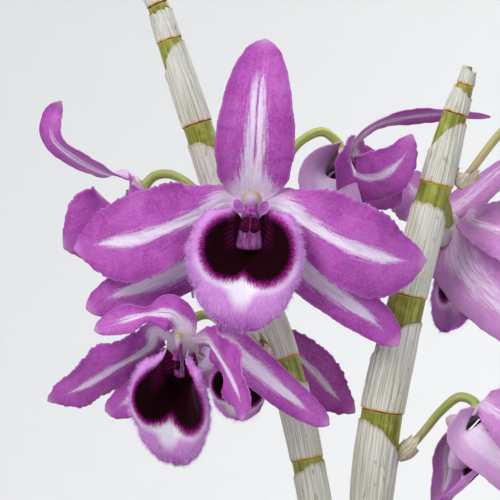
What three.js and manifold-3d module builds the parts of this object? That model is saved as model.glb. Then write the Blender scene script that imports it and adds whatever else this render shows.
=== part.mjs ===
// Dendrobium orchid in flower: two leafless canes in papery sheaths carry eight blooms and root in a plain pot.
// Millimetres, +Z up. The origin is the centre of the pot's flat underside, and the main bloom faces -Y.

import * as THREE from 'three';
import { mergeVertices } from 'three/addons/utils/BufferGeometryUtils.js';
import Module from 'manifold-3d';

const wasm = await Module();
wasm.setup();

// ---------------------------------------------------------------- driving dimensions

const GAP = 0.3; // clearance between pieces that touch on the plant
const MERGE_TOLERANCE = 1e-4;

const POT = {
  height: 66,
  footRadius: 29,
  shoulderRadius: 38.4,
  rimRadius: 42,
  bandHeight: 13,
  wall: 2.8,
  floor: 3.2,
  drainRadius: 4,
  drainOffset: 15,
  drains: 3,
  drainSides: 10,
  bandStep: 1.5,
  rimSwell: 0.8,
  rimEdge: 1,
  ledgeDrop: 2,
  sides: 30,
};

// The bark's uneven top, and the chips sunk in it: least size, what is added to it at most, lean and rise.
const MIX = { top: 59, rings: 3, roughness: 0.8, waveX: [0.9, 0.4], waveY: [-0.3, 0.8], seed: 7 };
const CHIPS = { count: 9, spread: 31, least: [4, 3, 2.4], extra: [4.5, 2.5, 1], lean: 0.7, rise: 0.8 };
const DRAW = { multiplier: 16807, modulus: 2147483647 };

const RHIZOME = {
  through: [[-10, 1.5, 56.6], [-5.5, 0.6, 57], [5, -0.4, 57], [10.5, -1, 56.9]],
  radii: [[0, 1.1], [0.3, 1.7], [0.7, 1.7], [1, 1]],
};
const ROOT_RADIUS = 1.15;
const ROOTS = [
  [[-5, 0, 57], [-12, -6, 59.2], [-17, -14, 59.7], [-19, -22, 56.7]],
  [[4.5, 0, 57], [5, -8, 59.1], [2, -17, 59.7], [5, -25, 56.7]],
  [[6, -0.5, 57], [13, -7, 59.2], [22, -9, 59.8], [30, -7, 56.8]],
  [[-2, 0.5, 57], [-2, 9, 59.1], [-6, 18, 59.5], [-5, 26, 56.8]],
];

// Each cane runs through its nodes, thins towards its dry tip, and is bare just below every node ring.
// A sheath starts on a ring and ends at top. Its mouth is lifted towards +X by tilt and towards -Y by front, and the
// higher its round is, the later the mouth falls away.
const SHEATH = { thickness: 0.6, ribRelief: 0.14, rows: 3, round: 1.3 };
const CANE_SIDES = 8;
const CORE = { slimmest: 0.45, bareShare: 0.94, bareRise: 1.6, shortestBare: 2.2, ringStep: 0.1 };
const SLEEVE_STEPS = 24;
const CANES = {
  left: {
    through: [
      [-5.5, 0, 59.4], [-4.3, 1, 79.8], [-7.2, 2, 100.8], [-12.3, 2.5, 121.5], [-21.7, 3, 146.1],
      [-30, 4, 170.2], [-35.8, 5, 187.7], [-38.2, 5.5, 194.9], [-44.5, 6.5, 206.7], [-46.4, 7, 210.5],
    ],
    radii: [
      [59.4, 2.1], [68, 2.9], [80, 3.3], [100, 3.4], [121, 3.6], [146, 3.5], [170, 3.2], [188, 2.7],
      [195, 2.3], [206, 1.8], [211, 1.5],
    ],
    sheaths: [
      { ring: 61.2, top: 75, tilt: 1 },
      { ring: 79.8, top: 98.4, tilt: 1.2, front: 0.8 },
      { ring: 100.8, top: 117, tilt: -1.5 },
      { ring: 121.5, top: 141.5, tilt: 1 },
      { ring: 146.1, top: 163.8, tilt: -2.7, front: 0.8, round: 1.8 },
      { ring: 170.2, top: 183.8, tilt: 2.7, front: 0.6, round: 2.2 },
      { ring: 187.7, top: 193.6, tilt: 0 },
      { ring: 195.2, top: 207.5, tilt: 0.8 },
    ],
  },
  right: {
    through: [
      [5, -1, 59.4], [4.6, -1, 74], [5.6, -1, 88], [8.3, -2, 111], [13.5, -3, 134.8],
      [19.3, -3.5, 157.6], [23.2, -4, 172.2], [25.4, -4.5, 178.7], [26.1, -4.6, 181.6],
    ],
    radii: [
      [59.4, 2.2], [68, 3.1], [88, 4.2], [111, 4.5], [134.8, 4], [157.6, 3.5], [172.2, 2.6], [178.7, 1.7],
      [181.6, 1.4],
    ],
    sheaths: [
      { ring: 61.2, top: 82.5, tilt: -1 },
      { ring: 88, top: 104.8, tilt: -3.7, front: 1.2, round: 1.8 },
      { ring: 111, top: 125.4, tilt: 4.4, front: 1, round: 2 },
      { ring: 134.8, top: 150.2, tilt: -1.2, front: 3, round: 1.6 },
      { ring: 157.6, top: 167, tilt: 3.4, front: 0.6, round: 2 },
      { ring: 172.2, top: 176.4, tilt: -0.8 },
      { ring: 178, top: 181, tilt: -0.7 },
    ],
  },
};

// Outlines of the tepals: [distance along, left half-width, right half-width] as shares of length and half-width.
const OUTLINES = {
  dorsal: [[0, 0.28, 0.28], [0.1, 0.72, 0.74], [0.24, 0.94, 0.94], [0.42, 1, 0.98], [0.58, 0.9, 0.88],
    [0.74, 0.74, 0.75], [0.88, 0.52, 0.53], [0.96, 0.3, 0.3], [1, 0.05, 0.05]],
  petal: [[0, 0.14, 0.14], [0.12, 0.47, 0.3], [0.28, 0.84, 0.5], [0.46, 0.98, 0.76], [0.63, 0.98, 0.92],
    [0.76, 0.82, 0.88], [0.87, 0.54, 0.62], [0.95, 0.3, 0.32], [1, 0.04, 0.04]],
  lateral: [[0, 0.32, 0.32], [0.14, 0.8, 0.8], [0.36, 1, 1], [0.6, 0.95, 0.92], [0.78, 0.84, 0.8],
    [0.9, 0.64, 0.58], [0.97, 0.38, 0.32], [1, 0.06, 0.06]],
};
const TEPAL_THICKNESS = 0.62;
const NARROWEST = 0.04;
const WAVE = { edgePower: 3, lag: 1.7, calmPower: 0.7, calmReach: 1.05 };
const LOFT_STEPS = { spur: 2, column: 2, stalk: 6, bract: 2, root: 4 };

// How each tepal leaves the receptacle behind the lip, in the bloom's own axes: x to its right, y up, z out of its
// face.
const TEPAL_ROOTS = {
  dorsal: [[0.1, 4.2, -1.8], [0.1, 6.4, -2.2]],
  petal_left: [[-1.8, 3.6, -1.5], [-5, 4.2, -1.9]],
  petal_right: [[1.8, 3.6, -1.5], [5, 4.2, -1.9]],
  lateral_left: [[-1.4, 0, -2], [-3.4, -2.2, -2.6]],
  lateral_right: [[1.4, 0, -2], [3.4, -2.2, -2.6]],
};
const RECEPTACLE = { centre: [0, 1.4, -2], radii: [3.2, 5, 1.25] };
const SPUR = { through: [[0, -0.4, -2.3], [0, -2.6, -4.2], [0, -3.4, -6.6]], radii: [[0, 1.9], [0.5, 2], [1, 1]] };

// The lip is an oval throat that opens into a round blade: [degrees from straight down, reach in mm].
const LIP = {
  reach: [[0, 21.4], [20, 19.4], [40, 15.8], [60, 13.2], [80, 10.9], [95, 9.4], [106, 8], [116, 6.2], [140, 4.6]],
  rise: [[0, 6.5], [45, 8], [90, 8.6], [120, 6], [140, 4.4]],
  reachPower: 1.35,
  risePower: 2.2,
  recurve: 2.6,
  recurvePower: 5,
  innermost: 0.12,
  throat: { centreY: -1, halfWidth: 3.4, halfHeight: 5.4 },
  floorShare: 0.22,
  spreadAngle: 140,
  thickness: 0.62,
};

const COLUMN = {
  through: [[0.1, 5.2, 0.9], [0.1, 3.2, 4], [0, 0.6, 7]],
  radii: [[0, 1.8], [0.5, 1.55], [1, 2]],
  capLobe: { offset: 0.85, centre: [0, -0.2, 7.2], radii: [1.25, 1.75, 1.1] },
  foot: { centre: [0, -0.9, 1.4], radii: [2.2, 4, 0.45] },
};

const STALK = { radii: [[0, 0.8], [0.25, 0.85], [0.8, 1], [1, 1.2]], sides: 6 };
const BRACT = { start: 0.02, share: 0.14, radius: 1.4, flare: 2 };

// Every bloom has its throat at origin, faces along face and stands along up. Its lip is scaled by [width, length].
// A tepal is [half-width, facing at its tip or null, the points it runs through], and a stalk is a list of points.
const BLOOMS = [
  {
    origin: [-19, -17, 149.2], face: [0, -1, 0], up: [0.05, 0, 1], size: 1, lip: [1, 1], detail: 'fine',
    dorsal: [8, null, [[-17.8, -20, 167.4], [-17.2, -19.5, 177], [-15.8, -16, 186.5]]],
    petal_left: [9, null, [[-29.8, -18.5, 150.6], [-41.2, -20, 146.4], [-47.9, -18, 145.4], [-54.4, -14, 144.2]]],
    petal_right: [9.2, null, [[-8, -18.5, 149.6], [0, -20.5, 145], [8.1, -18, 142.4], [16.6, -13, 141.8]]],
    lateral_left: [5, null, [[-29.1, -14, 142.4], [-39.2, -13.5, 137.3], [-45.7, -13, 135.1], [-52.2, -12, 132]]],
    lateral_right: [5, null, [[-8.9, -14, 141.2], [0.2, -13.5, 133.9], [6.3, -13, 129.4], [11, -12, 124.7]]],
    stalk: [[-20.6, 0, 146.9], [-16.8, -4, 148.5], [-16.2, -9, 151.5], [-18.4, -12.6, 152.5]],
  },
  {
    origin: [-33.1, -16, 121.9], face: [-0.25, -0.8, -0.55], up: [0, -0.55, 0.8], size: 1.05, lip: [0.68, 1.05],
    detail: 'fine',
    dorsal: [4, [-0.1, -0.95, 0.3], [[-34.6, -19.5, 131.2], [-38.6, -19.5, 131.2], [-44.6, -19, 129.8],
      [-50.3, -18, 127.9]]],
    petal_left: [5.9, [-0.2, -0.7, -0.65], [[-39.1, -13.5, 124.5], [-47.1, -14, 119.9], [-54.1, -15, 115.9],
      [-59.9, -14, 113.6]]],
    petal_right: [5.4, [-0.8, -0.6, -0.2], [[-26.5, -20, 124.9], [-22.8, -27, 119.2], [-20.8, -31, 114.7],
      [-20.4, -32, 110.5]]],
    lateral_left: [4.2, [-0.3, -0.9, -0.3], [[-36.4, -7, 119.1], [-41.5, -5, 114.9], [-45.3, -4, 112.4],
      [-48.8, -3, 110.9]]],
    lateral_right: [4, [0, -0.9, 0.3], [[-24.7, -12, 125.2], [-19, -11, 120.9], [-11.9, -10, 114.9],
      [-6.8, -9, 111], [-2.9, -8, 108.3]]],
    stalk: [[-14.9, -0.5, 122.1], [-18.6, -5, 125.3], [-23.5, -8, 128.1], [-27.5, -10, 130.8], [-31, -12.2, 129.6]],
  },
  {
    origin: [-42.7, 9, 153.9], face: [-0.85, 0.1, -0.45], up: [-0.7, 0, 0.65], size: 0.9, lip: [0.42, 0.75],
    dorsal: [4, [-0.35, -0.55, -0.75], [[-48.3, 7, 159.9], [-55.5, 5, 163.4], [-59.8, 4, 167.3], [-60.2, 4, 171.5],
      [-58.4, 5, 175]]],
    petal_left: [4, null, [[-39.8, 17, 151.4], [-35, 20, 146.1], [-31.8, 20, 139.7], [-31.1, 19, 133.8]]],
    petal_right: [8.6, [-0.3, -0.9, -0.3], [[-45, -1.5, 152.6], [-50, -7, 148.6], [-56.9, -9.5, 144.4]]],
    lateral_left: [4, null, [[-38.6, 15, 147.1], [-36, 18, 138.7], [-35.5, 18, 133.4]]],
    lateral_right: [3.6, [-0.4, -0.9, 0], [[-39.8, 0.5, 147.4], [-44.6, -2.5, 138.8], [-43.8, -1.5, 131.6],
      [-43, 0, 127.3]]],
    stalk: [[-24.8, 4.6, 147.7], [-27.8, 5, 153.4], [-32, 7, 158], [-36.2, 9, 159.9], [-39.2, 10, 159.4],
      [-41.2, 9.6, 157.2]],
  },
  {
    origin: [0.5, 9, 161.2], face: [0.72, -0.16, -0.68], up: [0.65, 0, 0.75], size: 0.95, lip: [0.55, 0.9],
    dorsal: [4, [0, -0.3, -0.95], [[7.2, 8, 170.2], [14.5, 9, 172.1], [23, 10, 172.8], [31.5, 11, 172]]],
    petal_left: [5.8, [0.3, -0.9, -0.3], [[2.8, -3.5, 159.8], [7.6, -8, 159.2], [11.8, -9.5, 162.6], [14, -9, 167.6]]],
    petal_right: [6, null, [[6.1, 17, 158.9], [9.8, 21, 156.4], [13.2, 23, 153.6]]],
    lateral_left: [6, [0.1, -1, 0], [[-3.2, -1.6, 158.2], [-1.2, -5, 152], [1.4, -6.5, 145.2]]],
    lateral_right: [5, null, [[-3.8, 15, 157.8], [-0.9, 19, 149.3], [4.5, 21, 144]]],
    stalk: [[-19.6, 5.4, 148], [-16.1, 8, 152.8], [-12.7, 9, 159.1], [-9.8, 9.5, 165.2], [-7, 10, 167.7],
      [-3.7, 10.3, 168.8], [-0.7, 10.2, 166.6]],
  },
  {
    origin: [23.6, 13, 146.1], face: [0.55, 0.6, -0.55], up: [0.15, 0.55, 0.8], size: 0.9, lip: [0.7, 1.1],
    dorsal: [5, null, [[28.3, 14.6, 156], [34.6, 16, 161.4], [40.6, 19, 164.9]]],
    petal_left: [6.5, [0.2, 0.9, -0.3], [[27.7, 5.4, 149.6], [33.8, 1, 147.5], [39.8, -1, 144.4], [44.9, -2, 140.9]]],
    petal_right: [6.5, null, [[19.4, 20, 151.5], [16.2, 24, 156.5], [14.2, 26, 161.2]]],
    lateral_left: [7, [0.1, 0.95, -0.3], [[26.4, 5, 140.2], [33.8, 1, 132], [40.8, -1, 125.4]]],
    lateral_right: [2.7, null, [[20.6, 9.8, 142.5], [19.9, 8.6, 140.4], [20.4, 8, 138]]],
    stalk: [[19.6, -0.6, 157.2], [20.6, 5, 157], [21.8, 9, 154.9], [22.6, 11.2, 151.6]],
  },
  {
    origin: [27.7, -5, 108.1], face: [0.75, -0.15, -0.62], up: [0.62, 0, 0.78], size: 0.9, lip: [0.5, 0.9],
    dorsal: [4.5, null, [[33.2, -6, 115.8], [39.3, -6, 117.4], [45, -5, 116.3]]],
    petal_left: [6.5, null, [[32.7, -14, 109.7], [37.4, -20, 107.6], [41.7, -23, 104.2]]],
    petal_right: [6.5, null, [[33.1, 5, 106.5], [38.8, 11, 103], [43.2, 13, 98.6]]],
    lateral_left: [5.6, [0.1, -0.95, 0.2], [[25, -12.5, 107.2], [31.6, -14.5, 101.6], [38.4, -13, 94]]],
    lateral_right: [3.8, [0.4, -0.9, 0], [[22.1, -1, 103.8], [21.7, 0, 97.5], [19.5, 1, 90.6]]],
    stalk: [[11, -1.6, 101], [14.2, -1.6, 103.6], [17.1, -1.5, 106.9], [20.3, -2, 110.8], [24.2, -3, 113.8],
      [27.2, -4, 112.6]],
  },
  {
    origin: [-19.8, 13, 121.6], face: [-0.2, -0.8, -0.55], up: [0.1, -0.55, 0.8], size: 0.85, lip: [0.6, 0.8],
    dorsal: [4.5, null, [[-18.5, 11.6, 130.6], [-18, 10.6, 136.5], [-18, 9.8, 141]]],
    petal_left: [4, null, [[-24.3, 17.3, 121.6], [-27.2, 19, 118], [-29.5, 19.5, 114.5]]],
    petal_right: [5, [0, -1, 0], [[-13.1, 14, 124.6], [-6.3, 13, 119.1], [-1.1, 12.5, 113.4], [3.1, 12, 109.7]]],
    lateral_left: [3.6, null, [[-22.4, 19.8, 117], [-23.3, 21, 112.3], [-23.2, 21, 109]]],
    lateral_right: [3.4, null, [[-19, 19.8, 116.6], [-18.7, 21, 112], [-18.6, 21, 108.6]]],
    stalk: [[-13.2, 6, 121.9], [-12.8, 10.5, 115.5], [-13, 16.5, 115.5], [-13.6, 20.5, 121], [-16.5, 20.5, 126],
      [-18.6, 17.5, 127.6], [-19.3, 14.8, 126.6]],
  },
  {
    origin: [49.8, -4, 175.8], face: [0.85, 0.1, -0.5], up: [0.5, 0, 0.85], size: 0.9, lip: [0.6, 0.8], detail: 'spare',
    dorsal: [6, null, [[52.9, -4, 183], [57.1, -3, 188.2], [62, -1, 191]]],
    petal_left: [7, null, [[50.2, -15, 174.7], [50.4, -25, 172.4], [50.6, -32, 169.5]]],
    petal_right: [7, null, [[52.7, 7, 175.8], [55.3, 17, 174.4], [57.2, 24, 171.9]]],
    lateral_left: [4.5, null, [[45.4, -9.5, 169.2], [43.4, -12.5, 163.5], [42, -14, 158]]],
    lateral_right: [4.5, null, [[45.4, 1.5, 169.2], [43.4, 4.5, 163.5], [42, 6, 158]]],
    stalk: [[23.4, -3, 156.6], [26.4, -2.9, 160.2], [32.4, -3, 167.9], [40.6, -3.5, 175.4], [45, -4, 179.4],
      [48.4, -4.2, 180.4]],
  },
];

// Cells along and across a tepal, and along and around a lip. The two blooms in front are made finer, and the
// outermost bloom is made sparer.
const CELLS = {
  fine: { along: 8, across: 4, lipAlong: 7, lipAround: 12 },
  plain: { along: 6, across: 2, lipAlong: 5, lipAround: 8 },
  spare: { along: 5, across: 2, lipAlong: 4, lipAround: 6 },
};
const FORMS = {
  dorsal: { cup: 0.1, wave: 0.5, waves: 1.5, phase: 0.4 },
  petal_left: { cup: -0.06, wave: 1.1, waves: 2.6, phase: 0 },
  petal_right: { cup: -0.06, wave: 1.1, waves: 2.6, phase: 2.1 },
  lateral_left: { cup: 0.12, wave: 0.4, waves: 1.5, phase: 1 },
  lateral_right: { cup: 0.12, wave: 0.4, waves: 1.5, phase: 3 },
};

const MATERIALS = {
  tepals: new THREE.MeshStandardMaterial({ color: 0xaa44aa, roughness: 0.6 }),
  lip: new THREE.MeshStandardMaterial({ color: 0xd8a2e8, roughness: 0.7 }),
  column: new THREE.MeshStandardMaterial({ color: 0x812278, roughness: 0.5 }),
  stalk: new THREE.MeshStandardMaterial({ color: 0xa9a866, roughness: 0.5 }),
  cane: new THREE.MeshStandardMaterial({ color: 0x929e3b, roughness: 0.5 }),
  sheath: new THREE.MeshStandardMaterial({ color: 0xd5d8d6, roughness: 0.8 }),
  rhizome: new THREE.MeshStandardMaterial({ color: 0xb9b6a4, roughness: 0.8 }),
  mix: new THREE.MeshStandardMaterial({ color: 0x5c4433, roughness: 0.9 }),
  pot: new THREE.MeshStandardMaterial({ color: 0xb26a48, roughness: 0.8 }),
};

// ---------------------------------------------------------------- solids and small helpers

const vector = (point) => new THREE.Vector3(...point);

const curveThrough = (points) => new THREE.CatmullRomCurve3(points, false, 'centripetal');

function toSolid(geometry) {
  const bare = geometry.clone();
  bare.deleteAttribute('normal');
  bare.deleteAttribute('uv');
  const merged = mergeVertices(bare, MERGE_TOLERANCE);
  const mesh = new wasm.Mesh({
    numProp: 3,
    vertProperties: new Float32Array(merged.attributes.position.array),
    triVerts: new Uint32Array(merged.index.array),
  });
  return new wasm.Manifold(mesh);
}

function toGeometry(solid) {
  const mesh = solid.getMesh();
  const geometry = new THREE.BufferGeometry();
  geometry.setAttribute('position', new THREE.BufferAttribute(new Float32Array(mesh.vertProperties), 3));
  geometry.setIndex(new THREE.BufferAttribute(new Uint32Array(mesh.triVerts), 1));
  geometry.computeVertexNormals();
  return geometry;
}

const join = (solids) => solids.reduce((whole, next) => whole.add(next));

// Keeps the outer body alone, so a sealed hollow is filled and a loose scrap is dropped.
function mainBody(solid) {
  const bodies = solid.decompose();
  return bodies.reduce((best, body) => (body.volume() > best.volume() ? body : best));
}

// Reads a list of [position, value, ...] as a smooth curve through its stations.
function valueAt(stations, position, column = 1) {
  const last = stations.length - 1;
  if (position <= stations[0][0]) return stations[0][column];
  if (position >= stations[last][0]) return stations[last][column];
  const upper = stations.findIndex((station) => station[0] > position);
  const [before, after] = [stations[upper - 1], stations[upper]];
  const span = after[0] - before[0];
  const slopeAt = (index) => {
    const [low, high] = [stations[Math.max(index - 1, 0)], stations[Math.min(index + 1, last)]];
    return (high[column] - low[column]) / (high[0] - low[0]);
  };
  const t = (position - before[0]) / span;
  const bend = t * t * (3 - 2 * t);
  const straightIn = before[column] + slopeAt(upper - 1) * (position - before[0]);
  const straightOut = after[column] + slopeAt(upper) * (position - after[0]);
  return straightIn * (1 - bend) + straightOut * bend;
}

// Repeatable draws between 0 and 1.
function seededDraws(seed) {
  let state = seed;
  return () => {
    state = (state * DRAW.multiplier) % DRAW.modulus;
    return state / DRAW.modulus;
  };
}

// Closes a grid of mid-surface points into a thin solid. Both faces split their quads along the same diagonal.
function sheet(rows, thickness) {
  const [lastRow, lastColumn] = [rows.length - 1, rows[0].length - 1];
  const width = lastColumn + 1;
  const half = thickness / 2;
  const [front, back] = [[], []];
  rows.forEach((row, i) => row.forEach((point, j) => {
    const along = rows[Math.min(i + 1, lastRow)][j].clone().sub(rows[Math.max(i - 1, 0)][j]);
    const across = row[Math.min(j + 1, lastColumn)].clone().sub(row[Math.max(j - 1, 0)]);
    const normal = across.cross(along).normalize();
    front.push(...point.clone().addScaledVector(normal, half));
    back.push(...point.clone().addScaledVector(normal, -half));
  }));
  const behind = width * (lastRow + 1);
  const at = (i, j) => i * width + j;
  const faces = [];
  for (let i = 0; i < lastRow; i += 1) {
    for (let j = 0; j < lastColumn; j += 1) {
      const [a, b, c, d] = [at(i, j), at(i, j + 1), at(i + 1, j + 1), at(i + 1, j)];
      faces.push(a, b, c, a, c, d, a + behind, c + behind, b + behind, a + behind, d + behind, c + behind);
    }
  }
  const rim = (from, to) => faces.push(from, to, to + behind, from, to + behind, from + behind);
  for (let i = 0; i < lastRow; i += 1) {
    rim(at(i, 0), at(i + 1, 0));
    rim(at(i + 1, lastColumn), at(i, lastColumn));
  }
  for (let j = 0; j < lastColumn; j += 1) {
    rim(at(0, j + 1), at(0, j));
    rim(at(lastRow, j), at(lastRow, j + 1));
  }
  const geometry = new THREE.BufferGeometry();
  geometry.setAttribute('position', new THREE.BufferAttribute(new Float32Array([...front, ...back]), 3));
  geometry.setIndex(faces);
  return geometry;
}

// Side and depth directions at each station of a curve, carried along it without twisting.
function framesAlong(curve, stations) {
  const side = new THREE.Vector3(1, 0, 0);
  if (Math.abs(curve.getTangentAt(0).x) > 0.8) side.set(0, 1, 0);
  return stations.map((station) => {
    const tangent = curve.getTangentAt(station);
    side.addScaledVector(tangent, -side.dot(tangent)).normalize();
    return { centre: curve.getPointAt(station), side: side.clone(), depth: side.clone().cross(tangent) };
  });
}

// Bends a cylinder along a curve. radiusAt gives its radius at each station, from 0 to 1, and growth widens and
// lengthens it.
function tube(curve, stations, radiusAt, sides, growth = 0) {
  const steps = stations.length - 1;
  const geometry = new THREE.CylinderGeometry(1, 1, 1, sides, steps);
  const frames = framesAlong(curve, stations);
  frames[0].centre.addScaledVector(curve.getTangentAt(stations[0]), -growth);
  frames[steps].centre.addScaledVector(curve.getTangentAt(stations[steps]), growth);
  const position = geometry.attributes.position;
  for (let index = 0; index < position.count; index += 1) {
    const row = Math.round((position.getY(index) + 0.5) * steps);
    const { centre, side, depth } = frames[row];
    const radius = radiusAt(stations[row]) + growth;
    const point = centre.clone()
      .addScaledVector(side, position.getX(index) * radius)
      .addScaledVector(depth, position.getZ(index) * radius);
    position.setXYZ(index, point.x, point.y, point.z);
  }
  return geometry;
}

const evenStations = (steps) => Array.from({ length: steps + 1 }, (_, index) => index / steps);

// ---------------------------------------------------------------- blooms

// The bloom's own axes, and place() from them to the plant.
function bloomAxes({ origin, face, up, size }) {
  const out = vector(face).normalize();
  const top = vector(up).addScaledVector(out, -vector(up).dot(out)).normalize();
  const right = top.clone().cross(out);
  const place = ([x, y, z]) => vector(origin)
    .addScaledVector(right, x * size)
    .addScaledVector(top, y * size)
    .addScaledVector(out, z * size);
  return { right, top, out, place };
}

// An ellipsoid or a box that stands in the bloom's own axes.
function inBloom(geometry, axes, centre, scale) {
  const basis = new THREE.Matrix4().makeBasis(axes.right, axes.top, axes.out);
  return geometry
    .scale(...scale)
    .applyMatrix4(basis)
    .translate(...axes.place(centre));
}

// One tepal: a thin blade that follows its points, turns from the bloom's face to its tip's facing, and waves.
function tepalGrid(bloom, axes, name) {
  const [halfWidth, tipFacing, points] = bloom[name];
  const { cup, wave, waves, phase } = FORMS[name];
  const outline = OUTLINES[name.split('_')[0]];
  const mirrored = name === 'petal_left';
  const { along, across } = CELLS[bloom.detail ?? 'plain'];
  const curve = curveThrough([...TEPAL_ROOTS[name].map(axes.place), ...points.map(vector)]);
  const facingAtTip = tipFacing ? vector(tipFacing).normalize() : axes.out;
  return evenStations(along).map((t) => {
    const tangent = curve.getTangentAt(t);
    const facing = axes.out.clone().lerp(facingAtTip, Math.min(1, t * 2));
    const normal = facing.addScaledVector(tangent, -facing.dot(tangent)).normalize();
    const side = tangent.clone().cross(normal);
    const calm = Math.sin(Math.PI * Math.min(1, t * WAVE.calmReach)) ** WAVE.calmPower;
    return evenStations(across).map((share) => {
      const u = 2 * share - 1;
      const leftSide = mirrored ? u > 0 : u < 0;
      const width = halfWidth * Math.max(valueAt(outline, t, leftSide ? 1 : 2), NARROWEST);
      const turn = 2 * Math.PI * waves * t + phase + (u > 0 ? WAVE.lag : 0);
      const ripple = wave * calm * Math.abs(u) ** WAVE.edgePower * Math.sin(turn);
      return curve.getPointAt(t)
        .addScaledVector(side, u * width)
        .addScaledVector(normal, cup * u * u * width + ripple);
    });
  });
}

function receptacle(axes, size, clearance = 0) {
  const radii = RECEPTACLE.radii.map((radius) => radius * size + clearance);
  const disc = inBloom(new THREE.SphereGeometry(1, 8, 4), axes, RECEPTACLE.centre, radii);
  const spurRadius = (t) => valueAt(SPUR.radii, t) * size;
  const spur = tube(curveThrough(SPUR.through.map(axes.place)), evenStations(LOFT_STEPS.spur), spurRadius, 6, clearance);
  return toSolid(disc).add(toSolid(spur));
}

function tepals(bloom, axes) {
  const blades = Object.keys(TEPAL_ROOTS).map((name) => toSolid(sheet(tepalGrid(bloom, axes, name), TEPAL_THICKNESS)));
  return mainBody(join([receptacle(axes, bloom.size), ...blades]));
}

// The lip's mid-surface, by distance out from the throat floor and angle from straight down.
function lipGrid(bloom, axes) {
  const { lipAlong, lipAround } = CELLS[bloom.detail ?? 'plain'];
  const { centreY, halfWidth, halfHeight } = LIP.throat;
  const [wide, long] = bloom.lip;
  return evenStations(lipAlong).map((s) => evenStations(lipAround).map((share) => {
    const degrees = (2 * share - 1) * LIP.spreadAngle;
    const angle = THREE.MathUtils.degToRad(degrees);
    const reach = valueAt(LIP.reach, Math.abs(degrees));
    const rise = valueAt(LIP.rise, Math.abs(degrees));
    const ring = 1 / Math.hypot(Math.sin(angle) / halfWidth, Math.cos(angle) / halfHeight);
    const wall = Math.max(0, (s - LIP.floorShare) / (1 - LIP.floorShare));
    const floorPart = Math.max(LIP.innermost, Math.min(1, s / LIP.floorShare));
    const radius = ring * floorPart + (reach - ring) * wall ** LIP.reachPower;
    const height = rise * (1 - (1 - wall) ** LIP.risePower) - LIP.recurve * wall ** LIP.recurvePower;
    const x = Math.sin(angle) * radius * THREE.MathUtils.lerp(1, wide, wall);
    const y = centreY * (1 - wall) - Math.cos(angle) * radius * THREE.MathUtils.lerp(1, long, wall);
    return axes.place([x, y, height]);
  }));
}

function column(axes, size, clearance = 0) {
  const curve = curveThrough(COLUMN.through.map(axes.place));
  const stemRadius = (t) => valueAt(COLUMN.radii, t) * size;
  const stem = tube(curve, evenStations(LOFT_STEPS.column), stemRadius, 6, clearance);
  const { offset, centre, radii } = COLUMN.capLobe;
  const lobes = [-1, 1].map((sign) => inBloom(
    new THREE.SphereGeometry(1, 6, 4),
    axes,
    [centre[0] + sign * offset, centre[1], centre[2]],
    radii.map((radius) => radius * size + clearance),
  ));
  const footRadii = COLUMN.foot.radii.map((radius) => radius * size + clearance);
  const disc = new THREE.CylinderGeometry(1, 1, 2, 6).rotateX(Math.PI / 2);
  const foot = inBloom(disc, axes, COLUMN.foot.centre, footRadii);
  return mainBody(join([stem, ...lobes, foot].map(toSolid)));
}

// The stalk runs from the cane to the receptacle, and stops just short of both.
function stalk(bloom, axes) {
  const curve = curveThrough([...bloom.stalk.map(vector), axes.place(RECEPTACLE.centre)]);
  const stem = tube(curve, evenStations(LOFT_STEPS.stalk), (t) => valueAt(STALK.radii, t), STALK.sides);
  const bractStations = evenStations(LOFT_STEPS.bract).map((t) => BRACT.start + t * BRACT.share);
  const bract = tube(curve, bractStations, (t) => BRACT.radius + BRACT.flare * t, STALK.sides);
  const neighbours = [receptacle(axes, bloom.size, GAP), ...Object.values(CANES).map((cane) => sleeve(cane))];
  return mainBody(toSolid(stem).add(toSolid(bract)).subtract(join(neighbours)));
}

// ---------------------------------------------------------------- canes and sheaths

// The share of the curve's length at which it reaches a height.
function shareAtHeight(curve, height) {
  let [low, high] = [0, 1];
  for (let step = 0; step < 30; step += 1) {
    const middle = (low + high) / 2;
    if (curve.getPointAt(middle).z < height) low = middle;
    else high = middle;
  }
  return (low + high) / 2;
}

const slimCore = (cane, height) => (
  Math.max(valueAt(cane.radii, height) - SHEATH.thickness - GAP, CORE.slimmest)
);

// The bare core: slim inside each sheath, and full width on the green stretch below each ring.
function caneCore(cane) {
  const curve = curveThrough(cane.through.map(vector));
  const fullWidth = (height, share = 1) => [height, valueAt(cane.radii, height) * share];
  const slim = (height) => [height, slimCore(cane, height)];
  const [base, tip] = [cane.through[0][2], cane.through.at(-1)[2]];
  const rows = [fullWidth(base)];
  cane.sheaths.forEach(({ ring, top, tilt, front = 0 }, index) => {
    const mouth = top + Math.hypot(tilt, front);
    const next = cane.sheaths[index + 1]?.ring ?? 0;
    rows.push(fullWidth(ring - GAP - CORE.ringStep), slim(ring - GAP), slim((ring + mouth) / 2), slim(mouth + GAP));
    if (next > mouth + CORE.shortestBare) rows.push(fullWidth(mouth + CORE.bareRise, CORE.bareShare));
  });
  rows.push(slim(tip));
  const stations = rows.map(([height]) => shareAtHeight(curve, height));
  const radiusAt = (station) => rows[stations.indexOf(station)][1];
  return toSolid(tube(curve, stations, radiusAt, CANE_SIDES));
}

// The room that a cane and its sheaths take up to a height, with the clearance round them.
function sleeve(cane, height = cane.through.at(-1)[2], steps = SLEEVE_STEPS) {
  const curve = curveThrough(cane.through.map(vector));
  const stations = evenStations(steps).map((t) => t * shareAtHeight(curve, height));
  const radiusAt = (station) => valueAt(cane.radii, curve.getPointAt(station).z) + SHEATH.ribRelief;
  return toSolid(tube(curve, stations, radiusAt, CANE_SIDES, GAP));
}

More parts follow.
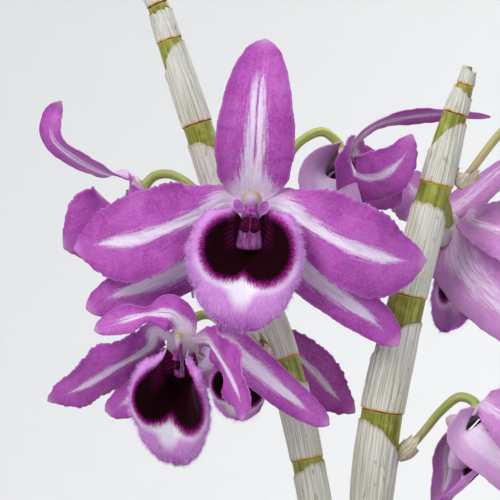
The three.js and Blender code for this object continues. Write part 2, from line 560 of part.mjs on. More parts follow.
// A papery tube on the core, from its ring to an oblique mouth, with lengthwise ribs.
function sheath(cane, { ring, top, tilt, front = 0, round = SHEATH.round }) {
  const curve = curveThrough(cane.through.map(vector));
  const [drop, peak] = [Math.hypot(tilt, front), Math.atan2(front, tilt)];
  const [inside, outside] = [1, 2];
  const up = evenStations(SHEATH.rows - 1);
  const profile = [
    ...up.map((share) => new THREE.Vector2(outside, share)),
    ...up.toReversed().map((share) => new THREE.Vector2(inside, share)),
  ];
  profile.push(profile[0].clone());
  const geometry = new THREE.LatheGeometry(profile, CANE_SIDES);
  const position = geometry.attributes.position;
  for (let index = 0; index < position.count; index += 1) {
    const [x, share, z] = [position.getX(index), position.getY(index), position.getZ(index)];
    const layer = Math.round(Math.hypot(x, z));
    const angle = Math.atan2(z, x);
    const mouth = top + drop * (1 - 2 * ((1 - Math.cos(angle - peak)) / 2) ** round);
    const height = THREE.MathUtils.lerp(ring, mouth, share);
    const { centre, side, depth } = framesAlong(curve, [shareAtHeight(curve, height)])[0];
    const core = slimCore(cane, height);
    const rib = SHEATH.ribRelief * Math.abs(Math.round((angle / (2 * Math.PI)) * CANE_SIDES) % 2);
    const radius = core + GAP + (layer === inside ? 0 : SHEATH.thickness + rib);
    const point = centre.clone()
      .addScaledVector(side, Math.cos(angle) * radius)
      .addScaledVector(depth, Math.sin(angle) * radius);
    position.setXYZ(index, point.x, point.y, point.z);
  }
  return toSolid(geometry);
}

// ---------------------------------------------------------------- pot, bark mix and rhizome

function pot() {
  const { height, footRadius, shoulderRadius, rimRadius, bandHeight, wall, floor, drainRadius, drainSides } = POT;
  const shoulder = height - bandHeight;
  const profile = [
    [0, 0], [footRadius, 0], [shoulderRadius, shoulder], [rimRadius, shoulder + POT.bandStep],
    [rimRadius + POT.rimSwell, height - POT.rimEdge], [rimRadius, height], [rimRadius - wall, height],
    [shoulderRadius - wall, shoulder - POT.ledgeDrop],
    [footRadius - wall, floor], [0, floor],
  ];
  const body = toSolid(turned(profile, POT.sides));
  const drains = Array.from({ length: POT.drains }, (_, index) => {
    const angle = (index / POT.drains) * 2 * Math.PI + Math.PI / 2;
    const drain = new THREE.CylinderGeometry(drainRadius, drainRadius, floor * 4, drainSides).rotateX(Math.PI / 2);
    return toSolid(drain.translate(Math.cos(angle) * POT.drainOffset, Math.sin(angle) * POT.drainOffset, 0));
  });
  return body.subtract(join(drains));
}

// Turns a profile of [radius, height] about +Z.
function turned(profile, sides) {
  const points = profile.map(([radius, height]) => new THREE.Vector2(radius, height));
  return new THREE.LatheGeometry(points, sides).rotateX(Math.PI / 2);
}

// The inside radius of the pot at a height.
function innerRadius(height) {
  const { footRadius, shoulderRadius, rimRadius, wall, floor, bandHeight } = POT;
  const shoulder = POT.height - bandHeight - POT.ledgeDrop;
  const [from, to, low, high] = height < shoulder
    ? [footRadius, shoulderRadius, floor, shoulder]
    : [shoulderRadius, rimRadius, shoulder, POT.height];
  return THREE.MathUtils.lerp(from, to, (height - low) / (high - low)) - wall;
}

// The bark fills the pot to just under its rim. Its top is uneven and strewn with sunken chips.
function barkMix() {
  const [bottom, shoulder] = [POT.floor + GAP, POT.height - POT.bandHeight - POT.ledgeDrop];
  const { top, rings, roughness, waveX, waveY } = MIX;
  const edge = innerRadius(top - 2 * roughness) - GAP;
  const topRings = Array.from({ length: rings }, (_, ring) => [edge * (1 - ring / rings), top]);
  const profile = [
    [0, bottom], [innerRadius(bottom) - GAP, bottom], [innerRadius(shoulder) - GAP, shoulder], ...topRings, [0, top],
  ];
  const body = turned(profile, POT.sides);
  const position = body.attributes.position;
  for (let index = 0; index < position.count; index += 1) {
    if (position.getZ(index) > top - GAP) {
      const [x, y] = [position.getX(index), position.getY(index)];
      const [rise, fall] = [Math.sin(x * waveX[0] + y * waveX[1]), Math.cos(x * waveY[0] + y * waveY[1])];
      position.setZ(index, top + roughness * (rise + fall) / 2);
    }
  }
  const draw = seededDraws(MIX.seed);
  const lean = () => (draw() - 0.5) * CHIPS.lean;
  const chips = Array.from({ length: CHIPS.count }, () => {
    const [radius, angle] = [CHIPS.spread * Math.sqrt(draw()), 2 * Math.PI * draw()];
    const chip = new THREE.BoxGeometry(...CHIPS.least.map((size, axis) => size + CHIPS.extra[axis] * draw()));
    chip.rotateX(lean()).rotateY(lean()).rotateZ(draw() * Math.PI);
    return toSolid(chip.translate(radius * Math.cos(angle), radius * Math.sin(angle), top + CHIPS.rise * draw()));
  });
  return join([toSolid(body), ...chips]);
}

function rhizome(clearance = 0) {
  const stemRadius = (t) => valueAt(RHIZOME.radii, t);
  const stations = evenStations(LOFT_STEPS.root);
  const stem = tube(curveThrough(RHIZOME.through.map(vector)), stations, stemRadius, 8, clearance);
  const roots = ROOTS.map((points) => (
    tube(curveThrough(points.map(vector)), stations, () => ROOT_RADIUS, 6, clearance)
  ));
  return mainBody(join([stem, ...roots].map(toSolid)));
}

// ---------------------------------------------------------------- the plant

const plant = new THREE.Group();

function addPiece(name, solid, material) {
  const mesh = new THREE.Mesh(toGeometry(solid), material);
  mesh.name = name;
  plant.add(mesh);
}

BLOOMS.forEach((bloom, index) => {
  const axes = bloomAxes(bloom);
  const name = `bloom_${index + 1}`;
  const lip = toSolid(sheet(lipGrid(bloom, axes), LIP.thickness));
  addPiece(`${name}_tepals`, tepals(bloom, axes), MATERIALS.tepals);
  addPiece(`${name}_lip`, mainBody(lip.subtract(column(axes, bloom.size, GAP))), MATERIALS.lip);
  addPiece(`${name}_column`, column(axes, bloom.size), MATERIALS.column);
  addPiece(`${name}_stalk`, stalk(bloom, axes), MATERIALS.stalk);
});

Object.entries(CANES).forEach(([sideName, cane]) => {
  addPiece(`cane_${sideName}`, caneCore(cane), MATERIALS.cane);
  cane.sheaths.forEach((spec, index) => {
    addPiece(`sheath_${sideName}_${index + 1}`, sheath(cane, spec), MATERIALS.sheath);
  });
});

const caneFeet = Object.values(CANES).map((cane) => sleeve(cane, POT.height, 2));
addPiece('rhizome', rhizome(), MATERIALS.rhizome);
addPiece('bark_mix', mainBody(barkMix().subtract(join([...caneFeet, rhizome(GAP)]))), MATERIALS.mix);
addPiece('pot', pot(), MATERIALS.pot);

export default plant;
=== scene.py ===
"""Dresses the potted dendrobium orchid: petals, lips, columns, stalks, canes, sheaths, roots, bark, pot and stage."""

import functools
import math

import bpy
import numpy as np
from bpy.props import FloatProperty, FloatVectorProperty, IntProperty, PointerProperty
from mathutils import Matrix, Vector


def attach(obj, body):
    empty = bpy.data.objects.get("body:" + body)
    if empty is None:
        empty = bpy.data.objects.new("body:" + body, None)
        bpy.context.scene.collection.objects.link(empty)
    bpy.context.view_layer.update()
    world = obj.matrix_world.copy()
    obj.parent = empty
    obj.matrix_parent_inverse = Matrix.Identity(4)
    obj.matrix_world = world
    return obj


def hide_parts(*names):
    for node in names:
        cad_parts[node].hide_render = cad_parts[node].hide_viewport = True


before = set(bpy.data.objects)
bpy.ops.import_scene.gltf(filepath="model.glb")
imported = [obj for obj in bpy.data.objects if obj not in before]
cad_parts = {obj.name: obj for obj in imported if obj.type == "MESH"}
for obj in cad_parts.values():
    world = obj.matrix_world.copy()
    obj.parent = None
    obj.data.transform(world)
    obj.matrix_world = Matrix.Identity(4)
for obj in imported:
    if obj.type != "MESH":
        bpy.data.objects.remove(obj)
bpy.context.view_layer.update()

bl_info = {
    "name": "Potted dendrobium orchid",
    "version": (1, 0, 0),
    "blender": (4, 5, 0),
    "location": "3D View > Sidebar > Orchid",
    "description": "Builds a flowering dendrobium orchid with its pot and a plain studio",
    "category": "Add Mesh",
}

MM = 0.001
POLE_GAP = 0.02

# ------------------------------------------------------------------ the plant's forms, in millimetres

# Outlines of the tepals: distance along, left half-width and right half-width, as shares of length and half-width.
OUTLINES = {
    "dorsal": [(0, 0.28, 0.28), (0.1, 0.72, 0.74), (0.24, 0.94, 0.94), (0.42, 1, 0.98), (0.58, 0.9, 0.88),
               (0.74, 0.74, 0.75), (0.88, 0.52, 0.53), (0.96, 0.3, 0.3), (1, 0.03, 0.03)],
    "petal": [(0, 0.14, 0.14), (0.12, 0.47, 0.3), (0.28, 0.84, 0.5), (0.46, 0.98, 0.76), (0.63, 0.98, 0.92),
              (0.76, 0.82, 0.88), (0.87, 0.54, 0.62), (0.95, 0.3, 0.32), (1, 0.03, 0.03)],
    "lateral": [(0, 0.32, 0.32), (0.14, 0.8, 0.8), (0.36, 1, 1), (0.6, 0.95, 0.92), (0.78, 0.84, 0.8),
                (0.9, 0.64, 0.58), (0.97, 0.38, 0.32), (1, 0.04, 0.04)],
}

# How each tepal leaves the receptacle, in the bloom's own axes: x to its right, y up, z out of its face.
TEPAL_ROOTS = {
    "dorsal": [(0.1, 4.2, -1.8), (0.1, 6.4, -2.2)],
    "petal_left": [(-1.8, 3.6, -1.5), (-5, 4.2, -1.9)],
    "petal_right": [(1.8, 3.6, -1.5), (5, 4.2, -1.9)],
    "lateral_left": [(-1.4, 0, -2), (-3.4, -2.2, -2.6)],
    "lateral_right": [(1.4, 0, -2), (3.4, -2.2, -2.6)],
}

# cup bows a blade across, wave ripples its margins and teeth roughen its edge.
TEPAL_FORMS = {
    "dorsal": {"cup": 0.1, "wave": 0.5, "waves": 1.5, "phase": 0.4, "teeth": 0.05},
    "petal_left": {"cup": -0.06, "wave": 1.1, "waves": 2.6, "phase": 0, "teeth": 0.18},
    "petal_right": {"cup": -0.06, "wave": 1.1, "waves": 2.6, "phase": 2.1, "teeth": 0.18},
    "lateral_left": {"cup": 0.12, "wave": 0.4, "waves": 1.5, "phase": 1, "teeth": 0.05},
    "lateral_right": {"cup": 0.12, "wave": 0.4, "waves": 1.5, "phase": 3, "teeth": 0.05},
}

# Width of the pale band, as a share of the blade's half-width, along each kind of tepal.
STRIPES = {
    "dorsal": [(0, 1.3), (0.1, 0.85), (0.18, 0.44), (0.3, 0.31), (0.55, 0.27), (0.8, 0.24), (1, 0.2)],
    "petal": [(0, 1), (0.12, 0.62), (0.22, 0.32), (0.34, 0.19), (0.6, 0.16), (0.8, 0.12), (0.93, 0.05), (1, 0.02)],
    "lateral": [(0, 0.9), (0.2, 0.55), (0.5, 0.42), (0.8, 0.22), (0.92, 0.07), (1, 0.03)],
}

RECEPTACLE = {"centre": (0, 1.4, -2), "radii": (3.2, 5, 1.25)}
SPUR = {"through": [(0, -0.4, -2.3), (0, -2.6, -4.2), (0, -3.4, -6.6)], "radii": [(0, 1.9), (0.5, 2), (1, 1)]}
HALF_THICKNESS = {"tepal": 0.27, "lip": 0.26}

# The lip is an oval throat that opens into a round blade: degrees from straight down, reach left and right.
LIP = {
    "reach": [(0, 21.8, 21.8), (13, 21, 20.3), (22, 19.8, 18.9), (31, 18.4, 16.9), (40, 16.6, 15.4),
              (50, 15.5, 14), (60, 14.2, 12.7), (70, 12.8, 11.6), (83, 11.2, 10.2), (95, 9.9, 9),
              (104, 8.8, 8.2), (112, 6.9, 6.6), (122, 5.5, 5.4), (132, 4.9, 4.8), (140, 4.6, 4.6)],
    "rise": [(0, 6.5), (45, 8), (90, 8.6), (120, 6), (140, 4.4)],
    "recurve": 2.6,
    "throat_centre": -1,
    "throat_half_width": 3.4,
    "throat_half_height": 5.4,
    "floor_share": 0.22,
    "spread_angle": 140,
}
# The blotch's two lobes: centre and radii on an even lip.
LOBES = [((-3.9, -5), (5.7, 6.4)), ((3.1, -5.1), (5.9, 7.1))]
# The small folded ears beside the column: the centre and lean of each, and the radii of both.
EARS = [((-2.5, 3.5, 4.6), 0.5), ((2.6, 3.4, 4.6), -0.5)]
EAR_RADII = (1.05, 1.6, 0.28)

# The column: the points and radii of its neck, its cap, and the height about which it is made slimmer.
COLUMN = {
    "neck": [(0.1, 5.2, 0.9), (0.1, 3.2, 4), (0, 0.6, 7)],
    "radii": [(0, 0.7), (0.05, 2), (0.2, 1.75), (0.42, 1.35), (0.7, 1.45), (1, 1.7)],
    "cap_centre": (0, -0.2, 7.2),
    "cap_radii": (2.15, 1.8, 1.1),
    "middle": 2.4,
}
COLUMN_FOOT = {"top": 2.8, "length": 8.0, "half_width": 1.6, "widening": 1.0, "front": 1.75, "half_thickness": 0.16}

STALK_RADII = [(0, 0.8), (0.25, 0.85), (0.8, 1), (1, 1.2)]
# The bract at a stalk's foot: its length, how much longer one side is, its tears, its radius and its bulges.
BRACT = {"length": 3.6, "slant": 1.6, "tears": 0.9, "radius": 1.15, "swell": 0.75, "flare": 0.45, "thickness": 0.16}

# Each bloom: where it is, how it faces, its size, and for each tepal its half-width, the facing of its tip (None where
# it faces as the bloom does) and the points that it runs through. "lip" is its width and length against an even lip.
# "column" and "column_height" make the column slimmer and shorter, and "column_pale" whitens its neck. "pale" whitens
# the back of a tepal. "pinch" narrows a tepal: where, over what length, and by what share on its left and right.
BLOOMS = [
    {
        "origin": (-19, -17, 149.2), "face": (0, -1, 0), "up": (0.05, 0, 1), "size": 1, "lip": (1, 1),
        "detail": "fine",
        "dorsal": (8, None, [(-17.8, -20, 167.4), (-17.2, -19.5, 177), (-15.8, -16, 186.5)]),
        "petal_left": (9, None, [(-29.8, -18.5, 150.6), (-41.2, -20, 146.4), (-47.9, -18, 145.4),
                                 (-54.4, -14, 144.2)]),
        "petal_right": (9.2, None, [(-8, -18.5, 149.6), (0, -20.5, 145), (8.1, -18, 142.4), (16.6, -13, 141.8)]),
        "lateral_left": (5, None, [(-29.1, -14, 142.4), (-39.2, -13.5, 137.3), (-45.7, -13, 135.1),
                                   (-52.2, -12, 132)]),
        "lateral_right": (5, None, [(-8.9, -14, 141.2), (0.2, -13.5, 133.9), (6.3, -13, 129.4), (11, -12, 124.7)]),
        "stalk": [(-20.6, 0, 146.9), (-16.8, -4, 148.5), (-16.2, -9, 151.5), (-18.4, -12.6, 152.5)],
    },
    {
        "origin": (-33.1, -16, 121.9), "face": (-0.25, -0.8, -0.55), "up": (0, -0.55, 0.8), "size": 1.05,
        "lip": (0.68, 1.05), "detail": "fine", "column": 0.4, "pinch": {"dorsal": (0.5, 0.12, 0.6, 0.6)},
        "dorsal": (4, (-0.1, -0.95, 0.3), [(-34.6, -19.5, 131.2), (-38.6, -19.5, 131.2), (-44.6, -19, 129.8),
                                           (-50.3, -18, 127.9)]),
        "petal_left": (5.9, (-0.2, -0.7, -0.65), [(-39.1, -13.5, 124.5), (-47.1, -14, 119.9), (-54.1, -15, 115.9),
                                                  (-59.9, -14, 113.6)]),
        "petal_right": (5.4, (-0.8, -0.6, -0.2), [(-26.5, -20, 124.9), (-22.8, -27, 119.2), (-20.8, -31, 114.7),
                                                  (-20.4, -32, 110.5)]),
        "lateral_left": (4.2, (-0.3, -0.9, -0.3), [(-36.4, -7, 119.1), (-41.5, -5, 114.9), (-45.3, -4, 112.4),
                                                   (-48.8, -3, 110.9)]),
        "lateral_right": (4, (0, -0.9, 0.3), [(-24.7, -12, 125.2), (-19, -11, 120.9), (-11.9, -10, 114.9),
                                              (-6.8, -9, 111), (-2.9, -8, 108.3)]),
        "stalk": [(-14.9, -0.5, 122.1), (-18.6, -5, 125.3), (-23.5, -8, 128.1), (-27.5, -10, 130.8),
                  (-31, -12.2, 129.6)],
    },
    {
        "origin": (-42.7, 9, 153.9), "face": (-0.85, 0.1, -0.45), "up": (-0.7, 0, 0.65), "size": 0.9,
        "lip": (0.42, 0.75), "detail": "plain", "column": 0.3, "column_height": 0.35, "column_pale": 1.0,
        "pinch": {"petal_right": (0.2, 0.15, 0.55, 0.55)},
        "dorsal": (4, (-0.35, -0.55, -0.75), [(-48.3, 7, 159.9), (-55.5, 5, 163.4), (-59.8, 4, 167.3),
                                              (-60.2, 4, 171.5), (-58.4, 5, 175)]),
        "petal_left": (4, None, [(-39.8, 17, 151.4), (-35, 20, 146.1), (-31.8, 20, 139.7), (-31.1, 19, 133.8)]),
        "petal_right": (8.6, (-0.3, -0.9, -0.3), [(-45, -1.5, 152.6), (-50, -7, 148.6), (-56.9, -9.5, 144.4)]),
        "lateral_left": (4, None, [(-38.6, 15, 147.1), (-36, 18, 138.7), (-35.5, 18, 133.4)]),
        "lateral_right": (3.6, (-0.4, -0.9, 0), [(-39.8, 0.5, 147.4), (-44.6, -2.5, 138.8), (-43.8, -1.5, 131.6),
                                                 (-43, 0, 127.3)]),
        "stalk": [(-24.8, 4.6, 147.7), (-27.8, 5, 153.4), (-32, 7, 158), (-36.2, 9, 159.9), (-39.2, 10, 159.4),
                  (-41.2, 9.6, 157.2)],
    },
    {
        "origin": (0.5, 9, 161.2), "face": (0.72, -0.16, -0.68), "up": (0.65, 0, 0.75), "size": 0.95,
        "lip": (0.55, 0.9), "detail": "plain", "pale": {"lateral_left": 0.95},
        "pinch": {"lateral_left": (0.1, 0.12, -0.4, -0.4)},
        "dorsal": (4, (0, -0.3, -0.95), [(7.2, 8, 170.2), (14.5, 9, 172.1), (23, 10, 172.8), (31.5, 11, 172)]),
        "petal_left": (5.8, (0.3, -0.9, -0.3), [(2.8, -3.5, 159.8), (7.6, -8, 159.2), (11.8, -9.5, 162.6),
                                                (14, -9, 167.6)]),
        "petal_right": (6, None, [(6.1, 17, 158.9), (9.8, 21, 156.4), (13.2, 23, 153.6)]),
        "lateral_left": (6, (0.1, -1, 0), [(-3.2, -1.6, 158.2), (-1.2, -5, 152), (1.4, -6.5, 145.2)]),
        "lateral_right": (5, None, [(-3.8, 15, 157.8), (-0.9, 19, 149.3), (4.5, 21, 144)]),
        "stalk": [(-19.6, 5.4, 148), (-16.1, 8, 152.8), (-12.7, 9, 159.1), (-9.8, 9.5, 165.2), (-7, 10, 167.7),
                  (-3.7, 10.3, 168.8), (-0.7, 10.2, 166.6)],
    },
    {
        "origin": (23.6, 13, 146.1), "face": (0.55, 0.6, -0.55), "up": (0.15, 0.55, 0.8), "size": 0.9,
        "lip": (0.7, 1.1), "detail": "plain", "pale": {"lateral_left": 0.12},
        "dorsal": (5, None, [(28.3, 14.6, 156), (34.6, 16, 161.4), (40.6, 19, 164.9)]),
        "petal_left": (6.5, (0.2, 0.9, -0.3), [(27.7, 5.4, 149.6), (33.8, 1, 147.5), (39.8, -1, 144.4),
                                               (44.9, -2, 140.9)]),
        "petal_right": (6.5, None, [(19.4, 20, 151.5), (16.2, 24, 156.5), (14.2, 26, 161.2)]),
        "lateral_left": (7, (0.1, 0.95, -0.3), [(26.4, 5, 140.2), (33.8, 1, 132), (40.8, -1, 125.4)]),
        "lateral_right": (2.7, None, [(20.6, 9.8, 142.5), (19.9, 8.6, 140.4), (20.4, 8, 138)]),
        "stalk": [(19.6, -0.6, 157.2), (20.6, 5, 157), (21.8, 9, 154.9), (22.6, 11.2, 151.6)],
    },
    {
        "origin": (27.7, -5, 108.1), "face": (0.75, -0.15, -0.62), "up": (0.62, 0, 0.78), "size": 0.9,
        "lip": (0.5, 0.9), "detail": "plain", "pale": {"lateral_left": 0.85, "lateral_right": 0.4},
        "column_pale": 0.9, "pinch": {"lateral_left": (0.22, 0.14, -0.6, 0.12)},
        "dorsal": (4.5, None, [(33.2, -6, 115.8), (39.3, -6, 117.4), (45, -5, 116.3)]),
        "petal_left": (6.5, None, [(32.7, -14, 109.7), (37.4, -20, 107.6), (41.7, -23, 104.2)]),
        "petal_right": (6.5, None, [(33.1, 5, 106.5), (38.8, 11, 103), (43.2, 13, 98.6)]),
        "lateral_left": (5.6, (0.1, -0.95, 0.2), [(25, -12.5, 107.2), (31.6, -14.5, 101.6), (38.4, -13, 94)]),
        "lateral_right": (3.8, (0.4, -0.9, 0), [(22.1, -1, 103.8), (21.7, 0, 97.5), (19.5, 1, 90.6)]),
        "stalk": [(11, -1.6, 101), (14.2, -1.6, 103.6), (17.1, -1.5, 106.9), (20.3, -2, 110.8), (24.2, -3, 113.8),
                  (27.2, -4, 112.6)],
    },
    {
        "origin": (-19.8, 13, 121.6), "face": (-0.2, -0.8, -0.55), "up": (0.1, -0.55, 0.8), "size": 0.85,
        "lip": (0.6, 0.8), "detail": "plain",
        "dorsal": (4.5, None, [(-18.5, 11.6, 130.6), (-18, 10.6, 136.5), (-18, 9.8, 141)]),
        "petal_left": (4, None, [(-24.3, 17.3, 121.6), (-27.2, 19, 118), (-29.5, 19.5, 114.5)]),
        "petal_right": (5, (0, -1, 0), [(-13.1, 14, 124.6), (-6.3, 13, 119.1), (-1.1, 12.5, 113.4),
                                        (3.1, 12, 109.7)]),
        "lateral_left": (3.6, None, [(-22.4, 19.8, 117), (-23.3, 21, 112.3), (-23.2, 21, 109)]),
        "lateral_right": (3.4, None, [(-19, 19.8, 116.6), (-18.7, 21, 112), (-18.6, 21, 108.6)]),
        "stalk": [(-13.2, 6, 121.9), (-12.8, 10.5, 115.5), (-13, 16.5, 115.5), (-13.6, 20.5, 121),
                  (-16.5, 20.5, 126), (-18.6, 17.5, 127.6), (-19.3, 14.8, 126.6)],
    },
    {
        "origin": (49.8, -4, 175.8), "face": (0.85, 0.1, -0.5), "up": (0.5, 0, 0.85), "size": 0.9,
        "lip": (0.6, 0.8), "detail": "plain",
        "dorsal": (6, None, [(52.9, -4, 183), (57.1, -3, 188.2), (62, -1, 191)]),
        "petal_left": (7, None, [(50.2, -15, 174.7), (50.4, -25, 172.4), (50.6, -32, 169.5)]),
        "petal_right": (7, None, [(52.7, 7, 175.8), (55.3, 17, 174.4), (57.2, 24, 171.9)]),
        "lateral_left": (4.5, None, [(45.4, -9.5, 169.2), (43.4, -12.5, 163.5), (42, -14, 158)]),
        "lateral_right": (4.5, None, [(45.4, 1.5, 169.2), (43.4, 4.5, 163.5), (42, 6, 158)]),
        "stalk": [(23.4, -3, 156.6), (26.4, -2.9, 160.2), (32.4, -3, 167.9), (40.6, -3.5, 175.4), (45, -4, 179.4),
                  (48.4, -4.2, 180.4)],
    },
]

# Cells along and across a tepal, and out and round a lip.
CELLS = {
    "fine": {"along": 110, "across": 36, "lip_out": 70, "lip_round": 150},
    "plain": {"along": 64, "across": 24, "lip_out": 40, "lip_round": 80},
}

# Hairs: their share of the set density, their radius against their length, the radius of a tip in metres, their range
# of sizes, and how much they lean with the surface and at random.
HAIR_SHARE = {"fine": 1.0, "plain": 0.4}
HAIR_SLIMNESS = 0.045
HAIR_TIP = 0.000004
HAIR_SIZES = (0.45, 1.1)
HAIR_RISE = 0.45
HAIR_TANGLE = 0.5

# Each cane runs through its nodes. A sheath starts on its ring and ends at an oblique top.
CANES = {
    "left": {
        "through": [(-5.5, 0, 59.4), (-4.3, 1, 79.8), (-7.2, 2, 100.8), (-12.3, 2.5, 121.5), (-21.7, 3, 146.1),
                    (-30, 4, 170.2), (-35.8, 5, 187.7), (-38.2, 5.5, 194.9), (-44.5, 6.5, 206.7),
                    (-46.4, 7, 210.5)],
        "radii": [(59.4, 2.1), (68, 2.9), (80, 3.3), (100, 3.4), (121, 3.6), (146, 3.5), (170, 3.2), (188, 2.7),
                  (195, 2.3), (206, 1.8), (211, 1.5)],
        "sheaths": [
            {"ring": 61.2, "top": 75, "tilt": 1},
            {"ring": 79.8, "top": 98.4, "tilt": 1.2, "front": 0.8},
            {"ring": 100.8, "top": 117, "tilt": -1.5},
            {"ring": 121.5, "top": 141.5, "tilt": 1},
            {"ring": 146.1, "top": 163.8, "tilt": -2.7, "front": 0.8, "round": 1.8},
            {"ring": 170.2, "top": 183.8, "tilt": 2.7, "front": 0.6, "round": 2.2},
            {"ring": 187.7, "top": 193.6, "tilt": 0},
            {"ring": 195.2, "top": 207.5, "tilt": 0.8},
        ],
    },
    "right": {
        "through": [(5, -1, 59.4), (4.6, -1, 74), (5.6, -1, 88), (8.3, -2, 111), (13.5, -3, 134.8),
                    (19.3, -3.5, 157.6), (23.2, -4, 172.2), (25.4, -4.5, 178.7), (26.1, -4.6, 181.6)],
        "radii": [(59.4, 2.2), (68, 3.1), (88, 4.2), (111, 4.5), (134.8, 4), (157.6, 3.5), (172.2, 2.6),
                  (178.7, 1.7), (181.6, 1.4)],
        "sheaths": [
            {"ring": 61.2, "top": 82.5, "tilt": -1},
            {"ring": 88, "top": 104.8, "tilt": -3.7, "front": 1.2, "round": 1.8},
            {"ring": 111, "top": 125.4, "tilt": 4.4, "front": 1, "round": 2},
            {"ring": 134.8, "top": 150.2, "tilt": -1.2, "front": 3, "round": 1.6},
            {"ring": 157.6, "top": 167, "tilt": 3.4, "front": 0.6, "round": 2},
            {"ring": 172.2, "top": 176.4, "tilt": -0.8},
            {"ring": 178, "top": 181, "tilt": -0.7},
        ],
    },
}

# How much slimmer a cane is inside its sheaths, and the ribs round a sheath.
SHEATH_GAP = 0.9
SHEATH_RIBS = 19

RHIZOME = {
    "through": [(-10, 1.5, 56.6), (-5.5, 0.6, 57), (5, -0.4, 57), (10.5, -1, 56.9)],
    "radii": [(0, 1.1), (0.3, 1.7), (0.7, 1.7), (1, 1)],
}
ROOTS = [
    [(-5, 0, 57), (-12, -6, 59.2), (-17, -14, 59.7), (-19, -22, 56.7)],
    [(4.5, 0, 57), (5, -8, 59.1), (2, -17, 59.7), (5, -25, 56.7)],
    [(6, -0.5, 57), (13, -7, 59.2), (22, -9, 59.8), (30, -7, 56.8)],
    [(-2, 0.5, 57), (-2, 9, 59.1), (-6, 18, 59.5), (-5, 26, 56.8)],
]
ROOT_RADIUS = 1.15
POT = {"height": 66, "foot": 29, "shoulder": 38.4, "rim": 42, "band": 13, "wall": 2.8, "floor": 3.2,
       "drain_radius": 4, "drain_offset": 15}
POT_SIDES = 160
POT_SHOULDER = POT["height"] - POT["band"]
INNER_SHOULDER = POT_SHOULDER - 2
MIX_TOP = 59
MIX_GAP = 0.3

# Chips: the sides of each kind against a chip's length, their roughness, tilt and range of sizes.
CHIP_SHAPES = ((1, 0.6, 0.3), (0.8, 0.7, 0.4), (1.1, 0.45, 0.25))
CHIP_GRAIN = 330.0
CHIP_ROUGHNESS = 0.45
CHIP_TILT = 0.45
CHIP_SIZES = (0.55, 1.15)

# The studio, in metres. Each light: its place, diameter, share of the key light's power, and colour.
FLOOR = {"half_width": 3.0, "front": -2.2, "back": 1.1, "height": 2.4, "bend": 0.5}
LIGHTS = {
    "key": ((-0.75, -0.85, 1.05), 0.9, 1.75, (1, 0.985, 0.96)),
    "fill": ((1.0, -0.9, 0.45), 1.1, 0.6, (0.94, 0.97, 1)),
    "top": ((0.1, 0.1, 1.3), 0.9, 0.75, (1, 1, 1)),
    "behind": ((0.5, 0.8, 0.7), 0.6, 0.5, (1, 0.98, 0.95)),
}
LIT_POINT = (-0.01, 0, 0.15)
SKY = ((0.9, 0.94, 1, 1), 0.3)
CAMERA = {"across": -0.019, "front": -0.02, "height": 0.144, "half_view": 0.05, "sensor_width": 36, "clip_end": 20}


# ------------------------------------------------------------------ settings

class FlowerSettings(bpy.types.PropertyGroup):
    """Colours and surface of the blooms"""

    petal_colour: FloatVectorProperty(
        name="Petal", description="Main colour of the tepals", subtype="COLOR", default=(0.40, 0.04, 0.40))
    stripe_colour: FloatVectorProperty(
        name="Stripe", description="Pale band along each tepal", subtype="COLOR", default=(0.76, 0.66, 0.82))
    blush_colour: FloatVectorProperty(
        name="Blush", description="Base of each tepal, and the backs of pale ones", subtype="COLOR",
        default=(0.62, 0.44, 0.64))
    lip_colour: FloatVectorProperty(
        name="Lip", description="Outer part of the lip", subtype="COLOR", default=(0.55, 0.22, 0.6))
    blotch_colour: FloatVectorProperty(
        name="Throat blotch", description="Two dark lobes in the lip", subtype="COLOR",
        default=(0.012, 0.0005, 0.0025))
    hair_density: FloatProperty(
        name="Lip hairs", description="Hairs on each square metre of the lip", default=1.6e7, min=0)
    hair_length: FloatProperty(
        name="Hair length", description="Length of a hair at the lip's margin", default=0.0009, min=0,
        unit="LENGTH", subtype="DISTANCE")
    seed: IntProperty(name="Seed", description="Changes how the hairs lie", default=4, min=0)


class StemSettings(bpy.types.PropertyGroup):
    """Colours and thicknesses of the canes and their sheaths"""

    cane_colour: FloatVectorProperty(
        name="Cane", description="Green of the bare cane", subtype="COLOR", default=(0.27, 0.3, 0.022))
    sheath_colour: FloatVectorProperty(
        name="Sheath", description="Lighter fibres of the dry sheath", subtype="COLOR", default=(0.76, 0.77, 0.72))
    panel_colour: FloatVectorProperty(
        name="Panels", description="Darker fibres of the dry sheath", subtype="COLOR", default=(0.5, 0.51, 0.44))
    ring_colour: FloatVectorProperty(
        name="Node ring", description="Brown line at each node", subtype="COLOR", default=(0.6, 0.34, 0.08))
    sheath_thickness: FloatProperty(
        name="Sheath thickness", description="Thickness of the dry sheath", default=0.00035, min=0.0001,
        unit="LENGTH", subtype="DISTANCE")


class PotSettings(bpy.types.PropertyGroup):
    """Colours of the pot and its filling"""

    clay_colour: FloatVectorProperty(
        name="Clay", description="Fired clay of the pot", subtype="COLOR", default=(0.46, 0.17, 0.075))
    bark_colour: FloatVectorProperty(
        name="Bark", description="Bark chips", subtype="COLOR", default=(0.12, 0.062, 0.034))
    chip_density: FloatProperty(
        name="Chips", description="Bark chips on each square metre", default=42000, min=0)
    chip_length: FloatProperty(
        name="Chip length", description="Length of a bark chip", default=0.008, min=0.001, unit="LENGTH",
        subtype="DISTANCE")
    seed: IntProperty(name="Seed", description="Changes how the chips lie", default=11, min=0)


class StudioSettings(bpy.types.PropertyGroup):
    """Floor, lights and camera"""

    floor_colour: FloatVectorProperty(
        name="Floor", description="Pale floor and backdrop", subtype="COLOR", default=(0.66, 0.67, 0.68))
    key_power: FloatProperty(
        name="Key light", description="Power of the large soft light", default=9.5, min=0, unit="POWER")
    camera_distance: FloatProperty(
        name="Camera distance", description="From the camera to the main bloom", default=0.6, min=0.1,
        unit="LENGTH", subtype="DISTANCE")


